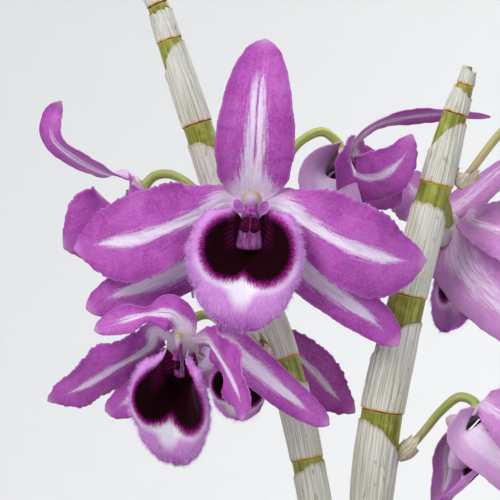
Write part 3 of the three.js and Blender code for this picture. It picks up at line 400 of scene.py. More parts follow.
# ------------------------------------------------------------------ curves and grids

def value_at(stations, position, column=1):
    """Reads (position, value, ...) stations as a smooth curve. position may be an array."""
    table = np.array(stations, float)
    place, value = table[:, 0], table[:, column]
    slope = np.empty_like(value)
    slope[1:-1] = (value[2:] - value[:-2]) / (place[2:] - place[:-2])
    slope[0] = (value[1] - value[0]) / (place[1] - place[0])
    slope[-1] = (value[-1] - value[-2]) / (place[-1] - place[-2])
    at = np.clip(position, place[0], place[-1])
    low = np.clip(np.searchsorted(place, at, side="right") - 1, 0, len(place) - 2)
    t = (at - place[low]) / (place[low + 1] - place[low])
    bend = t * t * (3 - 2 * t)
    straight_in = value[low] + slope[low] * (at - place[low])
    straight_out = value[low + 1] + slope[low + 1] * (at - place[low + 1])
    return straight_in * (1 - bend) + straight_out * bend


class Path:
    """A centripetal Catmull-Rom curve, read by its share of length."""

    def __init__(self, points, samples=60):
        p = np.array(points, float)
        p = np.vstack([2 * p[0] - p[1], p, 2 * p[-1] - p[-2]])
        found = []
        for a, b, c, d in zip(p, p[1:], p[2:], p[3:]):
            before, here, after = (max(np.linalg.norm(y - x) ** 0.5, 1e-4) for x, y in ((a, b), (b, c), (c, d)))
            start = ((b - a) / before - (c - a) / (before + here) + (c - b) / here) * here
            end = ((c - b) / here - (d - b) / (here + after) + (d - c) / after) * here
            t = np.linspace(0, 1, samples, endpoint=False)[:, None]
            found.append(b + start * t + (-3 * b + 3 * c - 2 * start - end) * t ** 2
                         + (2 * b - 2 * c + start + end) * t ** 3)
        self.points = np.vstack(found + [p[-2][None]])
        steps = np.linalg.norm(np.diff(self.points, axis=0), axis=1)
        self.length = steps.sum()
        self.share = np.concatenate([[0], np.cumsum(steps)]) / self.length

    def at(self, share):
        """The points at shares of the length, in an array of any shape."""
        return np.stack([np.interp(share, self.share, self.points[:, axis]) for axis in range(3)], axis=-1)

    def tangent(self, share):
        """The way that the path runs at shares of the length."""
        step = 0.004
        ahead, behind = self.at(np.minimum(share + step, 1)), self.at(np.maximum(share - step, 0))
        return unit(ahead - behind)

    def share_at_height(self, height):
        return np.interp(height, self.points[:, 2], self.share)


def unit(vectors):
    """The vectors at a length of 1."""
    return vectors / np.maximum(np.linalg.norm(vectors, axis=-1, keepdims=True), 1e-9)


def smooth_step(low, high, value):
    """0 up to low, 1 from high on, and a smooth rise between them. low may lie above high."""
    t = np.clip((value - low) / (high - low), 0, 1)
    return t * t * (3 - 2 * t)


def round_angles(count):
    """Angles of a full turn, as a row."""
    return np.linspace(0, 2 * np.pi, count, endpoint=False)[None, :]


def polar_angles(count):
    """Angles from just off one pole to just off the other, as a column."""
    return np.linspace(POLE_GAP, np.pi - POLE_GAP, count)[:, None]


def stacked(*parts):
    """Points from their coordinates, each a number or an array of any shape that fits."""
    return np.stack(np.broadcast_arrays(*parts), axis=-1)


def rounded_end(stations, length, least):
    """Shares of a radius that round off the last part of a rod."""
    over = stations.clip(1 - length) - (1 - length)
    return np.sqrt(np.clip(1 - (over / length) ** 2, least, 1))


def bell(values, width):
    """1 at 0, and falling smoothly away over the width on both sides."""
    return np.exp(-(values / width) ** 2)


def ripple(values, seed, octaves=4, gain=0.55):
    """A repeatable wavering between about -1 and 1."""
    draw = np.random.default_rng(seed)
    total = np.zeros_like(values, dtype=float)
    for octave in range(octaves):
        frequency = 2 ** octave * draw.uniform(0.8, 1.25)
        total += gain ** octave * np.sin(2 * np.pi * (frequency * values + draw.uniform()))
    return total / 1.6


def quads(rows, columns, wrap=False):
    """The corners of each cell of a grid. With wrap, the last column joins the first."""
    index = np.arange(rows * columns).reshape(rows, columns)
    across = np.arange(columns if wrap else columns - 1)
    ahead = (across + 1) % columns
    return np.stack([index[:-1][:, across], index[:-1][:, ahead], index[1:][:, ahead], index[1:][:, across]],
                    axis=-1).reshape(-1, 4)


class Shape:
    """Collects grids of points into one mesh with a UV map and named point values."""

    def __init__(self):
        self.points, self.faces, self.uvs, self.caps = [], [], [], []
        self.values, self.count = {}, 0

    def add(self, points, faces, corner_uvs, values):
        """Adds points with their faces. A value that others have and these don't is 0."""
        flat = points.reshape(-1, 3)
        self.points.append(flat)
        self.faces.append(faces + self.count)
        self.uvs.append(corner_uvs)
        for name in set(self.values) | set(values):
            held = self.values.setdefault(name, [np.zeros(self.count)] if self.count else [])
            held.append(np.broadcast_to(values.get(name, 0.0), points.shape[:-1]).ravel().astype(float))
        self.count += len(flat)

    def grid(self, points, values=None, wrap=False, flip=False):
        """A sheet of quads. With wrap, the last column joins the first."""
        rows, columns = points.shape[:2]
        faces = quads(rows, columns, wrap)
        width = columns if wrap else columns - 1
        u, v = np.arange(width + 1) / width, np.arange(rows) / (rows - 1)
        low_u, low_v = np.meshgrid(u[:-1], v[:-1])
        high_u, high_v = np.meshgrid(u[1:], v[1:])
        corners = np.stack([np.stack(corner, -1) for corner in (
            (low_u, low_v), (high_u, low_v), (high_u, high_v), (low_u, high_v))], axis=2).reshape(-1, 4, 2)
        if flip:
            faces, corners = faces[:, ::-1], corners[:, ::-1]
        self.add(points, faces, corners, values or {})

    def blade(self, middle, half, values=None):
        """A closed thin blade round its middle surface. half is half its thickness, at each point."""
        along = np.gradient(middle, axis=0)
        across = np.gradient(middle, axis=1)
        normal = unit(np.cross(across, along))
        half = np.broadcast_to(half, middle.shape[:2])[..., None]
        front, back = middle + normal * half, middle - normal * half
        start = self.count
        self.grid(front, {**(values or {}), "back": 0.0})
        self.grid(back, {**(values or {}), "back": 1.0}, flip=True)
        rows, columns = middle.shape[:2]
        index = np.arange(rows * columns).reshape(rows, columns)
        edge = np.concatenate([index[0, :-1], index[:-1, -1], index[-1, :0:-1], index[:0:-1, 0]])
        ahead = np.roll(edge, -1)
        behind = rows * columns
        rim = np.stack([edge + behind, ahead + behind, ahead, edge], axis=-1) + start
        v = np.repeat((edge // columns / (rows - 1))[:, None], 4, 1)
        u = np.repeat((edge % columns / (columns - 1))[:, None], 4, 1)
        self.faces.append(rim)
        self.uvs.append(np.stack([u, v], axis=-1))

    def ball(self, place, centre, radii, values=None, rows=16, columns=24, shape=None):
        """A closed rounded lump in the axes that place() turns to the plant's."""
        polar, turn = polar_angles(rows), round_angles(columns)
        local = stacked(np.sin(polar) * np.cos(turn), np.sin(polar) * np.sin(turn), np.cos(polar))
        if shape is not None:
            local = shape(local)
        points = place(np.array(centre) + local * np.array(radii))
        self.grid(points, values, wrap=True, flip=True)
        self.cap(points)

    def cap(self, points):
        """Closes both open ends of the wrapped grid that was added last."""
        rows, columns = points.shape[:2]
        start = self.count - rows * columns
        first = start + np.arange(columns)
        last = start + (rows - 1) * columns + np.arange(columns)
        outwards = looks_outwards(points)
        self.caps.append(list(first[::-1] if outwards else first))
        self.caps.append(list(last if outwards else last[::-1]))

    def tube(self, path, stations, radius, sides=20, values=None):
        """A closed round rod along a path. radius is an array with a row for each station."""
        centre, tangent = path.at(stations), path.tangent(stations)
        side = np.empty_like(tangent)
        hint = np.array([1.0, 0, 0]) if abs(tangent[0][0]) < 0.8 else np.array([0, 1.0, 0])
        for index, direction in enumerate(tangent):
            hint = hint - direction * hint.dot(direction)
            hint = hint / np.linalg.norm(hint)
            side[index] = hint
        depth = np.cross(side, tangent)
        turn = round_angles(sides)
        reach = np.broadcast_to(radius, (len(stations), sides))[..., None]
        points = centre[:, None] + reach * (
            np.sin(turn)[..., None] * side[:, None] + np.cos(turn)[..., None] * depth[:, None])
        self.grid(points, values, wrap=True, flip=True)
        self.cap(points)

    def finish(self, name, material, slot, nodes, smooth_angle=None):
        """Makes the object, in metres, and ties it to the frame."""
        points = np.vstack(self.points) * MM
        mesh = bpy.data.meshes.new(name)
        mesh.from_pydata(points.tolist(), [], np.vstack(self.faces).tolist() + self.caps)
        layer = mesh.uv_layers.new(name="surface")
        capped = np.tile([0.5, 0.0], (sum(len(ring) for ring in self.caps), 1))
        layer.data.foreach_set("uv", np.vstack([np.vstack(self.uvs).reshape(-1, 2), capped]).ravel())
        for key, parts in self.values.items():
            attribute = mesh.attributes.new(key, "FLOAT", "POINT")
            attribute.data.foreach_set("value", np.concatenate(parts))
        mesh.validate()
        mesh.materials.append(material)
        mesh.shade_smooth()
        if smooth_angle is not None:
            mesh.set_sharp_from_angle(angle=smooth_angle)
        return tie(linked(name, mesh), nodes)


def looks_outwards(points):
    """True where a wrapped grid's flipped faces look outwards."""
    ring = points[0]
    normal = np.cross(ring[1] - ring[0], ring[2] - ring[1])
    return normal.dot(points[1].mean(0) - ring.mean(0)) > 0


def linked(name, data):
    """A new object in the scene."""
    made = bpy.data.objects.new(name, data)
    bpy.context.scene.collection.objects.link(made)
    return made


def tie(piece, nodes):
    """Ties a piece to the frame. nodes are the CAD nodes that it replaces."""
    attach(piece, "root")
    if nodes:
        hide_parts(*nodes)
    return piece


# ------------------------------------------------------------------ finishes

def node(tree, kind, inputs=None, **settings):
    """Adds a node, sets it up, and links or fills its inputs."""
    made = tree.nodes.new(kind)
    for key, value in settings.items():
        setattr(made, key, value)
    for key, value in (inputs or {}).items():
        if isinstance(value, bpy.types.NodeSocket):
            tree.links.new(value, made.inputs[key])
        else:
            made.inputs[key].default_value = value
    return made


def toned(colour, factor, lift=0.0):
    """A colour made darker or lighter, with a lift towards white."""
    return tuple(channel * factor + lift for channel in colour)


class Finish:
    """A material in the making: its nodes, and the colour and relief that its layers build up."""

    def __init__(self, name):
        self.material = bpy.data.materials.new(name)
        self.material.use_nodes = True
        self.tree = self.material.node_tree
        self.shader = self.tree.nodes["Principled BSDF"]
        self.colour = self.relief = None

    @functools.cached_property
    def surface(self):
        """The piece's own UV map."""
        return node(self.tree, "ShaderNodeUVMap", uv_map="surface").outputs[0]

    @functools.cached_property
    def place(self):
        """The place on the plant, in metres."""
        return node(self.tree, "ShaderNodeTexCoord").outputs["Object"]

    def surface_part(self, number):
        """How far round (0) or along (1) the piece a point is."""
        return node(self.tree, "ShaderNodeSeparateXYZ", {0: self.surface}).outputs[number]

    def point(self, name):
        """A value that the mesh gives to each point."""
        return node(self.tree, "ShaderNodeAttribute", attribute_name=name).outputs["Fac"]

    def noise(self, vector, scale, stretch=(1, 1, 1), detail=4.0, roughness=0.55, distortion=0.0):
        """Noise on coordinates that are squeezed along some axes."""
        mapping = node(self.tree, "ShaderNodeMapping", {"Vector": vector, "Scale": stretch})
        return node(self.tree, "ShaderNodeTexNoise", {
            "Vector": mapping.outputs[0], "Scale": scale, "Detail": detail, "Roughness": roughness,
            "Distortion": distortion}).outputs[0]

    def maths(self, operation, first, second=0.0, clamp=False):
        """The result of one step of maths."""
        inputs = {0: first, 1: second}
        return node(self.tree, "ShaderNodeMath", inputs, operation=operation, use_clamp=clamp).outputs[0]

    def times(self, first, second):
        return self.maths("MULTIPLY", first, second)

    def plus(self, first, second):
        return self.maths("ADD", first, second)

    def about_zero(self, value, reach):
        """A noise of 0 to 1, moved to swing about 0."""
        return self.times(self.maths("SUBTRACT", value, 0.5), reach)

    def lessened(self, value, where, share):
        """The value, or its share where the second value is 1."""
        return self.times(value, self.maths("SUBTRACT", 1.0, self.times(where, self.maths("SUBTRACT", 1.0, share))))

    def ranged(self, value, low, high, to_low=0.0, to_high=1.0):
        """Maps a value from one range to another, smoothly and clamped."""
        inputs = {"Value": value, "From Min": low, "From Max": high, "To Min": to_low, "To Max": to_high}
        return node(self.tree, "ShaderNodeMapRange", inputs, interpolation_type="SMOOTHSTEP").outputs[0]

    def mixed(self, amount, *colours):
        """Mixes two colours, each a socket or plain values."""
        first, second = (colour if isinstance(colour, bpy.types.NodeSocket) else (*colour[:3], 1.0)
                         for colour in colours)
        inputs = {0: amount, 6: first, 7: second}
        return node(self.tree, "ShaderNodeMix", inputs, data_type="RGBA", blend_type="MIX").outputs[2]

    def layer(self, colour, amount):
        """Lays a colour over what is there."""
        self.colour = self.mixed(amount, self.colour, colour)

    def layers(self, *rows):
        """Lays colours where patterns are strong: colour, pattern, where it begins and is full, and how much."""
        for colour, pattern, begins, full, most in rows:
            self.layer(colour, self.ranged(pattern, begins, full, 0.0, most))

    def bump(self, height, strength, distance):
        """Adds relief to what is there."""
        inputs = {"Height": height, "Strength": strength, "Distance": distance}
        if self.relief is not None:
            inputs["Normal"] = self.relief
        self.relief = node(self.tree, "ShaderNodeBump", inputs).outputs[0]

    def done(self, **sockets):
        """Sets the shader's sockets, with _ for each space in a name, and returns the material."""
        sockets["Base_Color"] = self.colour
        if self.relief is not None:
            sockets["Normal"] = self.relief
        for key, value in sockets.items():
            socket = self.shader.inputs[key.replace("_", " ")]
            if isinstance(value, bpy.types.NodeSocket):
                self.tree.links.new(value, socket)
            else:
                socket.default_value = value
        return self.material


@functools.cache
def petal_material():
    """Satin magenta tepals with a pale band, fine lengthwise veins and a grainy skin whose pale specks are partly
    painted sparkle highlights.
    """
    settings = bpy.context.scene.orchid_flowers
    look = Finish("petal")
    veins = look.noise(look.surface, 7.0, (5, 0.9, 1), detail=6.0, roughness=0.65, distortion=0.8)
    fine_veins = look.noise(look.surface, 20.0, (6, 0.8, 1), detail=3.0, roughness=0.6, distortion=0.5)
    cloud = look.noise(look.place, 700.0, detail=5.0, roughness=0.7)
    patches = look.noise(look.place, 190.0, detail=5.0, roughness=0.65, distortion=0.6)
    grain = look.noise(look.place, 2800.0, detail=2.0)
    back, margin = look.point("back"), look.point("margin")
    deep = toned(settings.petal_colour, 0.5)
    light = toned(settings.petal_colour, 1.05, 0.09)
    paler = toned(settings.petal_colour, 0.95, 0.085)
    look.colour = look.mixed(look.ranged(veins, 0.35, 0.68, 0.0, 0.4), settings.petal_colour, light)
    # The pale grain specks are partly the skin's granular texture and partly painted sparkle highlights; the dark
    # grain specks are texture.
    look.layers(
        (paler, patches, 0.44, 0.66, 0.7), (deep, patches, 0.5, 0.36, 0.45), (deep, cloud, 0.5, 0.7, 0.55),
        (paler, grain, 0.5, 0.66, 0.6), (deep, grain, 0.47, 0.3, 0.5), (deep, fine_veins, 0.55, 0.75, 0.2))
    look.layer(paler, look.times(look.point("heart"), 0.35))
    look.layer(deep, look.times(margin, 0.45))
    look.layers((light, margin, 0.93, 1.0, 0.45))
    look.layer(settings.stripe_colour, look.times(back, 0.2))
    band_colour = look.mixed(look.ranged(fine_veins, 0.48, 0.72, 0.0, 0.4), settings.stripe_colour, look.colour)
    band = look.plus(look.point("stripe"), look.about_zero(veins, 1.5))
    band = look.plus(band, look.about_zero(grain, 0.5))
    on_back = look.ranged(veins, 0.4, 0.6, 0.25, 0.85)
    look.layer(band_colour, look.lessened(look.ranged(band, 0.15, 0.95), back, on_back))
    look.layer(settings.blush_colour, look.times(look.point("blush"), look.ranged(veins, 0.3, 0.75, 0.98, 0.65)))
    look.layer((0.3, 0.34, 0.09), look.point("green"))
    look.bump(look.plus(look.times(veins, 0.8), look.times(fine_veins, 0.5)), 0.3, 0.00022)
    look.bump(grain, 0.5, 0.00008)
    return look.done(
        Roughness=look.ranged(grain, 0.3, 0.7, 0.4, 0.6), Specular_IOR_Level=0.3, Sheen_Weight=0.04,
        Sheen_Tint=(0.95, 0.6, 1, 1), Subsurface_Weight=0.1, Subsurface_Radius=(1.0, 0.35, 0.9),
        Subsurface_Scale=0.0006)


@functools.cache
def lip_material():
    """A velvety lip: two maroon-black lobes with a feathered edge, a white patch and a lilac margin."""
    settings = bpy.context.scene.orchid_flowers
    look = Finish("lip")
    streaks = look.noise(look.surface, 30.0, (9, 0.5, 1), detail=4.0, roughness=0.65)
    broad = look.noise(look.surface, 9.0, (5, 0.5, 1), detail=3.0)
    grain = look.noise(look.place, 4200.0, detail=2.0)
    dark = look.plus(look.point("dark"), look.about_zero(streaks, 0.46))
    look.colour = look.mixed(look.ranged(streaks, 0.35, 0.68), settings.lip_colour, (0.66, 0.32, 0.72))
    look.layers(((0.4, 0.09, 0.44), grain, 0.5, 0.7, 0.4))
    look.layer((0.4, 0.055, 0.42), look.times(look.point("rosy"), look.ranged(broad, 0.3, 0.7, 0.4, 1.0)))
    white = look.maths("MULTIPLY", look.point("white"), look.ranged(streaks, 0.2, 0.5, 0.6, 1.0), clamp=True)
    look.layer((0.82, 0.76, 0.88), white)
    look.layers(((0.28, 0.012, 0.2), dark, -0.17, 0.03, 1.0), (settings.blotch_colour, dark, -0.03, 0.17, 1.0))
    look.layer(look.mixed(look.point("rungs"), (0.02, 0.0005, 0.006), (0.2, 0.008, 0.1)), look.point("throat"))
    ears = look.mixed(look.ranged(streaks, 0.4, 0.6), (0.5, 0.2, 0.55), (0.36, 0.06, 0.38))
    look.layer(ears, look.point("ear"))
    look.bump(streaks, 0.5, 0.00016)
    look.bump(grain, 0.6, 0.0001)
    return look.done(
        Roughness=0.85, Specular_IOR_Level=0.04, Sheen_Weight=0.04, Sheen_Roughness=0.35,
        Sheen_Tint=(1, 0.75, 1, 1), Subsurface_Weight=0.06, Subsurface_Radius=(1.0, 0.4, 0.9),
        Subsurface_Scale=0.0005)


@functools.cache
def hair_material():
    """Pale lilac hairs of the lip."""
    look = Finish("lip_hair")
    tone = look.noise(look.place, 900.0)
    look.colour = look.mixed(look.ranged(tone, 0.35, 0.65), (0.5, 0.19, 0.58), (0.76, 0.52, 0.84))
    return look.done(Roughness=0.55, Specular_IOR_Level=0.2)


@functools.cache
def column_material():
    """Waxy column: greenish at its base, lilac neck and foot, maroon-black cap."""
    look = Finish("column")
    mottle = look.noise(look.place, 1800.0, (1, 1, 0.4), detail=3.0)
    look.colour = look.mixed(look.ranged(mottle, 0.38, 0.66), (0.2, 0.018, 0.17), (0.36, 0.1, 0.38))
    look.layer((0.56, 0.46, 0.55), look.point("pale"))
    look.layer((0.34, 0.32, 0.08), look.point("green"))
    look.layer((0.24, 0.004, 0.13), look.point("line"))
    cap = look.mixed(look.ranged(mottle, 0.4, 0.75), (0.03, 0.0008, 0.012), (0.085, 0.003, 0.035))
    look.layer(cap, look.point("cap"))
    look.bump(mottle, 0.4, 0.00008)
    return look.done(Roughness=0.55, Specular_IOR_Level=0.05)


@functools.cache
def stalk_material():
    """Flower stalk: mauve-brown at its foot, then fresh green, with a dry bract."""
    look = Finish("stalk")
    lines = look.noise(look.surface, 6.0, (9, 0.5, 1), detail=3.0)
    green = look.mixed(look.ranged(lines, 0.35, 0.7), (0.22, 0.28, 0.035), (0.42, 0.47, 0.14))
    look.colour = look.mixed(look.ranged(lines, 0.3, 0.7), (0.36, 0.27, 0.13), (0.55, 0.48, 0.28))
    look.layer(green, look.ranged(look.surface_part(1), 0.05, 0.6))
    dry = look.mixed(look.ranged(lines, 0.35, 0.65), (0.4, 0.32, 0.2), (0.68, 0.62, 0.5))
    look.layer(dry, look.point("bract"))
    look.bump(lines, 0.5, 0.0002)
    return look.done(Roughness=0.42, Subsurface_Weight=0.06, Subsurface_Scale=0.0004)


@functools.cache
def cane_material():
    """Green ribbed cane with brown nodes."""
    settings = bpy.context.scene.orchid_stems
    look = Finish("cane")
    lines = look.noise(look.surface, 8.0, (6, 1.2, 1), detail=4.0)
    patches = look.noise(look.place, 420.0, detail=3.0)
    look.colour = look.mixed(look.ranged(lines, 0.38, 0.6), toned(settings.cane_colour, 0.5), settings.cane_colour)
    look.layers(((0.46, 0.48, 0.13), patches, 0.45, 0.75, 0.55))
    look.layer(settings.ring_colour, look.point("node"))
    look.bump(lines, 0.6, 0.0004)
    return look.done(Roughness=0.38, Subsurface_Weight=0.05, Subsurface_Scale=0.0008)


@functools.cache
def sheath_material():
    """Dry papery sheath: grey panels between cream ribs, an orange-brown foot and brown flecks."""
    settings = bpy.context.scene.orchid_stems
    look = Finish("sheath")
    wobble = look.noise(look.surface, 3.0, (3, 0.35, 1), detail=2.0)
    ribs = look.maths("SINE", look.plus(
        look.times(look.surface_part(0), SHEATH_RIBS * math.tau), look.times(wobble, 6.0)))
    fibres = look.noise(look.surface, 10.0, (12, 0.16, 1), detail=5.0, roughness=0.6)
    threads = look.noise(look.surface, 8.0, (7, 0.07, 1), detail=2.0)
    broad = look.noise(look.place, 240.0, (1, 1, 0.3), detail=3.0)
    flecks = look.noise(look.place, 760.0, (1, 1, 0.4), detail=3.0)
    look.colour = look.mixed(look.ranged(fibres, 0.36, 0.64), settings.panel_colour, settings.sheath_colour)
    look.layers(
        ((0.4, 0.43, 0.27), broad, 0.48, 0.7, 0.5), ((0.33, 0.28, 0.17), threads, 0.53, 0.58, 0.45),
        ((0.27, 0.22, 0.13), ribs, 0.2, 0.6, 0.22), ((0.86, 0.83, 0.7), ribs, 0.65, 0.95, 0.65),
        ((0.3, 0.2, 0.08), flecks, 0.62, 0.72, 0.6))
    look.layer(settings.ring_colour, look.point("foot"))
    look.layer((0.36, 0.22, 0.09), look.times(look.point("mouth"), 0.6))
    look.bump(ribs, 0.5, 0.00025)
    look.bump(fibres, 0.6, 0.0002)
    return look.done(Roughness=0.6, Specular_IOR_Level=0.3, Subsurface_Weight=0.06, Subsurface_Scale=0.0005)


@functools.cache
def root_material():
    """Corky grey-white root skin with greenish patches."""
    look = Finish("root")
    patches = look.noise(look.place, 350.0, detail=4.0)
    grain = look.noise(look.place, 2600.0, detail=3.0)
    look.colour = look.mixed(look.ranged(patches, 0.4, 0.7), (0.5, 0.48, 0.4), (0.3, 0.31, 0.17))
    look.layers(((0.24, 0.19, 0.12), grain, 0.5, 0.8, 0.5))
    look.bump(grain, 0.6, 0.0003)
    return look.done(Roughness=0.85)


@functools.cache
def bark_material():
    """Rough layered bark."""
    colour = bpy.context.scene.orchid_pot.bark_colour
    look = Finish("bark")
    layers = look.noise(look.place, 420.0, (1, 1, 3.2), detail=5.0, roughness=0.65)
    patches = look.noise(look.place, 120.0, detail=3.0)
    grain = look.noise(look.place, 2400.0, detail=3.0)
    look.colour = look.mixed(look.ranged(layers, 0.35, 0.65), toned(colour, 0.35), colour)
    look.layers((toned(colour, 2.4), patches, 0.45, 0.7, 0.8))
    look.bump(layers, 0.8, 0.0009)
    look.bump(grain, 0.5, 0.0003)
    return look.done(Roughness=0.88)


@functools.cache
def clay_material():
    """Fired clay with wheel lines, pale mineral bloom and small pits."""
    colour = bpy.context.scene.orchid_pot.clay_colour
    look = Finish("fired_clay")
    rings = look.noise(look.place, 160.0, (0.15, 0.15, 6), detail=3.0)
    bloom = look.noise(look.place, 42.0, (1, 1, 0.6), detail=6.0, roughness=0.62)
    pits = look.noise(look.place, 1500.0, detail=2.0)
    look.colour = look.mixed(look.ranged(rings, 0.3, 0.7), toned(colour, 0.7), colour)
    look.layers(((0.6, 0.42, 0.33), bloom, 0.52, 0.72, 0.55), ((0.16, 0.06, 0.035), pits, 0.7, 0.78, 0.5))
    look.bump(rings, 0.35, 0.0006)
    look.bump(pits, 0.4, 0.0002)
    return look.done(Roughness=0.82, Specular_IOR_Level=0.3)


@functools.cache
def floor_material():
    """Plain pale studio paper."""
    colour = bpy.context.scene.orchid_studio.floor_colour
    look = Finish("studio_floor")
    look.colour = look.mixed(look.noise(look.place, 30.0), toned(colour, 0.97), colour)
    return look.done(Roughness=0.9)


# ------------------------------------------------------------------ blooms

class BloomAxes:
    """A bloom's own axes: x to its right, y up, z out of its face."""

    def __init__(self, bloom):
        self.origin = np.array(bloom["origin"], float)
        self.out = unit(np.array(bloom["face"], float))
        up = np.array(bloom["up"], float)
        self.top = unit(up - self.out * up.dot(self.out))
        self.right = np.cross(self.top, self.out)
        self.size = bloom["size"]

    def place(self, points):
        """Turns points in the bloom's own axes into points on the plant."""
        local = np.asarray(points, float) * self.size
        return self.origin + local[..., :1] * self.right + local[..., 1:2] * self.top + local[..., 2:3] * self.out


def tepal_sides(bloom, name, t):
    """The half-widths to the left and right of a tepal's middle line, as shares of its half-width."""
    outline = OUTLINES[name.split("_")[0]]
    left, right = value_at(outline, t, 1), value_at(outline, t, 2)
    if name in bloom.get("pinch", {}):
        centre, length, from_left, from_right = bloom["pinch"][name]
        near = bell(t - centre, length)
        left, right = left * (1 - from_left * near), right * (1 - from_right * near)
    return (right, left) if name == "petal_left" else (left, right)


def tepal_values(name, t, edge, pale):
    """Where a tepal is banded, blushed, green, pale at its heart or dark at its margin."""
    band = value_at(STRIPES[name.split("_")[0]], t)
    fade_from = 0.55 if name == "dorsal" else 0.72
    stripe = np.exp(-(edge / band) ** 2.2) * (1 - smooth_step(fade_from, 0.98, t))
    if name == "dorsal":
        stripe = stripe * (1 - 0.85 * bell(edge, 0.03) * smooth_step(0.14, 0.35, t))
    blush = 1 - smooth_step(0.0, 0.16, t)
    blush = np.maximum(blush, pale * (1 - 0.2 * edge ** 3) * (1 - 0.35 * t))
    blush = np.maximum(blush, 0.45 * smooth_step(0.93, 1, t))
    green = pale * 0.8 * (1 - smooth_step(0.03, 0.2, t))
    heart = bell(edge, 0.45) * smooth_step(0.05, 0.2, t)
    return {"stripe": stripe, "blush": blush, "margin": smooth_step(0.55, 1, edge), "green": green, "heart": heart}


def tepal(shape, bloom, axes, name, seed):
    """One tepal: a thin blade that follows its points, turns to its tip's facing and waves at its margins."""
    half_width, tip_facing, points = bloom[name]
    form = TEPAL_FORMS[name]
    cells = CELLS[bloom["detail"]]
    path = Path([*axes.place(TEPAL_ROOTS[name]), *points])
    t = np.linspace(0, 1, cells["along"] + 1)[:, None]
    # The cells are narrower towards the margins.
    crowded = np.sin(np.linspace(-np.pi / 2, np.pi / 2, cells["across"] + 1))
    u = (crowded * 0.35 + np.linspace(-1, 1, cells["across"] + 1) * 0.65)[None, :]
    edge = np.abs(u)
    tip = axes.out if tip_facing is None else unit(np.array(tip_facing, float))
    turned = np.minimum(1, t * 2)[..., None]
    tangent = path.tangent(t)
    facing = axes.out * (1 - turned) + tip * turned
    normal = unit(facing - tangent * (facing * tangent).sum(-1, keepdims=True))
    side = np.cross(tangent, normal)
    widths = np.where(u < 0, *tepal_sides(bloom, name, t)) * half_width
    teeth = [form["teeth"] * ripple(t * path.length * 0.45, seed + number, 5, 0.8) for number in (1, 2)]
    uneven = np.where(u < 0, *teeth) * edge ** 6
    calm = np.sin(np.pi * np.minimum(1, t * 1.05)).clip(0) ** 0.7
    lag = np.where(u > 0, 1.7, 0.0)
    wave = form["wave"] * np.sin(2 * np.pi * form["waves"] * t + form["phase"] + lag)
    frill = 0.25 * form["wave"] * ripple(t * path.length * 0.16 + seed, seed + 5, 3) * edge ** 4
    keel = 0.22 * bell(u, 0.07)
    lift = form["cup"] * u ** 2 * widths + calm * (wave * edge ** 3 + frill) - keel * calm
    reach = u * np.maximum(widths + uneven, 0.05)
    middle = path.at(t) + reach[..., None] * side + lift[..., None] * normal
    thickness = HALF_THICKNESS["tepal"] * (1 - 0.55 * edge ** 4)
    shape.blade(middle, thickness, tepal_values(name, t, edge, bloom.get("pale", {}).get(name, 0.0)))


def add_tepals(number, bloom):
    """A bloom's five tepals, its receptacle and its spur."""
    shape, axes = Shape(), BloomAxes(bloom)
    for index, name in enumerate(TEPAL_ROOTS):
        tepal(shape, bloom, axes, name, number * 31 + index * 7)
    shape.ball(axes.place, RECEPTACLE["centre"], RECEPTACLE["radii"], {"stripe": 0.7, "blush": 1.0, "green": 0.25})
    stations = np.linspace(0, 1, 14)
    radius = value_at(SPUR["radii"], stations) * axes.size * rounded_end(stations, 0.2, 0.02)
    shape.tube(Path(axes.place(SPUR["through"])), stations, radius[:, None],
               values={"stripe": 0.6, "blush": 1.0, "green": 0.4})
    shape.finish(f"bloom_{number}_tepals_fine", petal_material(), "tepal", [f"bloom_{number}_tepals"])


def lip_surface(bloom, axes):
    """The lip's middle surface and the values that colour it."""
    cells = CELLS[bloom["detail"]]
    wide, long = bloom["lip"]
    s = np.linspace(0, 1, cells["lip_out"] + 1)[:, None]
    degrees = np.linspace(-1, 1, cells["lip_round"] + 1)[None, :] * LIP["spread_angle"]
    angle = np.radians(degrees)
    size = np.abs(degrees)
    blend = smooth_step(-12, 12, degrees)
    reach = value_at(LIP["reach"], size, 1) * (1 - blend) + value_at(LIP["reach"], size, 2) * blend
    reach = reach + 0.22 * ripple(degrees / 22.0, 5, 4, 0.75)
    ring = 1 / np.hypot(np.sin(angle) / LIP["throat_half_width"], np.cos(angle) / LIP["throat_half_height"])
    wall = np.maximum(0, (s - LIP["floor_share"]) / (1 - LIP["floor_share"]))
    floor_part = np.clip(s / LIP["floor_share"], 0.04, 1)
    radius = ring * floor_part + (reach - ring) * wall ** 1.35
    height = value_at(LIP["rise"], size) * (1 - (1 - wall) ** 2.2) - LIP["recurve"] * wall ** 5
    height = height + 0.3 * wall ** 4 * ripple(degrees / 70.0, 8, 3)
    widened, lengthened = 1 + (wide - 1) * wall, 1 + (long - 1) * wall
    x = np.sin(angle) * radius * widened
    y = LIP["throat_centre"] * (1 - wall) - np.cos(angle) * radius * lengthened
    return axes.place(stacked(x, y, height)), lip_values(x / widened, y / lengthened, wall, s, size)


def lip_values(x, y, wall, s, size):
    """Where the lip is dark, white, rosy, haired or in its throat, from the place on an even lip."""
    lobes = np.minimum(*(np.hypot((x - cx) / rx, (y - cy) / ry) for (cx, cy), (rx, ry) in LOBES))
    narrowing = 4.2 - 0.48 * (-11 - y).clip(0, 7)
    white = np.exp(-((x + 1.1) / narrowing) ** 4) * smooth_step(-18.5, -14.5, y) * smooth_step(-9, -11, y)
    white = white + 0.55 * bell(lobes - 1.16, 0.12) * smooth_step(-5, -9, y)
    rosy = smooth_step(-17, -21, y) + 0.3 * smooth_step(0.93, 1, s)
    throat = (1 - smooth_step(0.1, 0.4, wall)) * smooth_step(28, 60, size)
    rungs = 0.5 + 0.5 * np.sin(math.tau * (y + 0.7 * np.abs(x)))
    fringe = smooth_step(0.88, 0.985, s) * smooth_step(135, 115, size)
    return {"dark": 1 - lobes, "white": white, "rosy": rosy, "throat": throat, "rungs": rungs, "fringe": fringe}


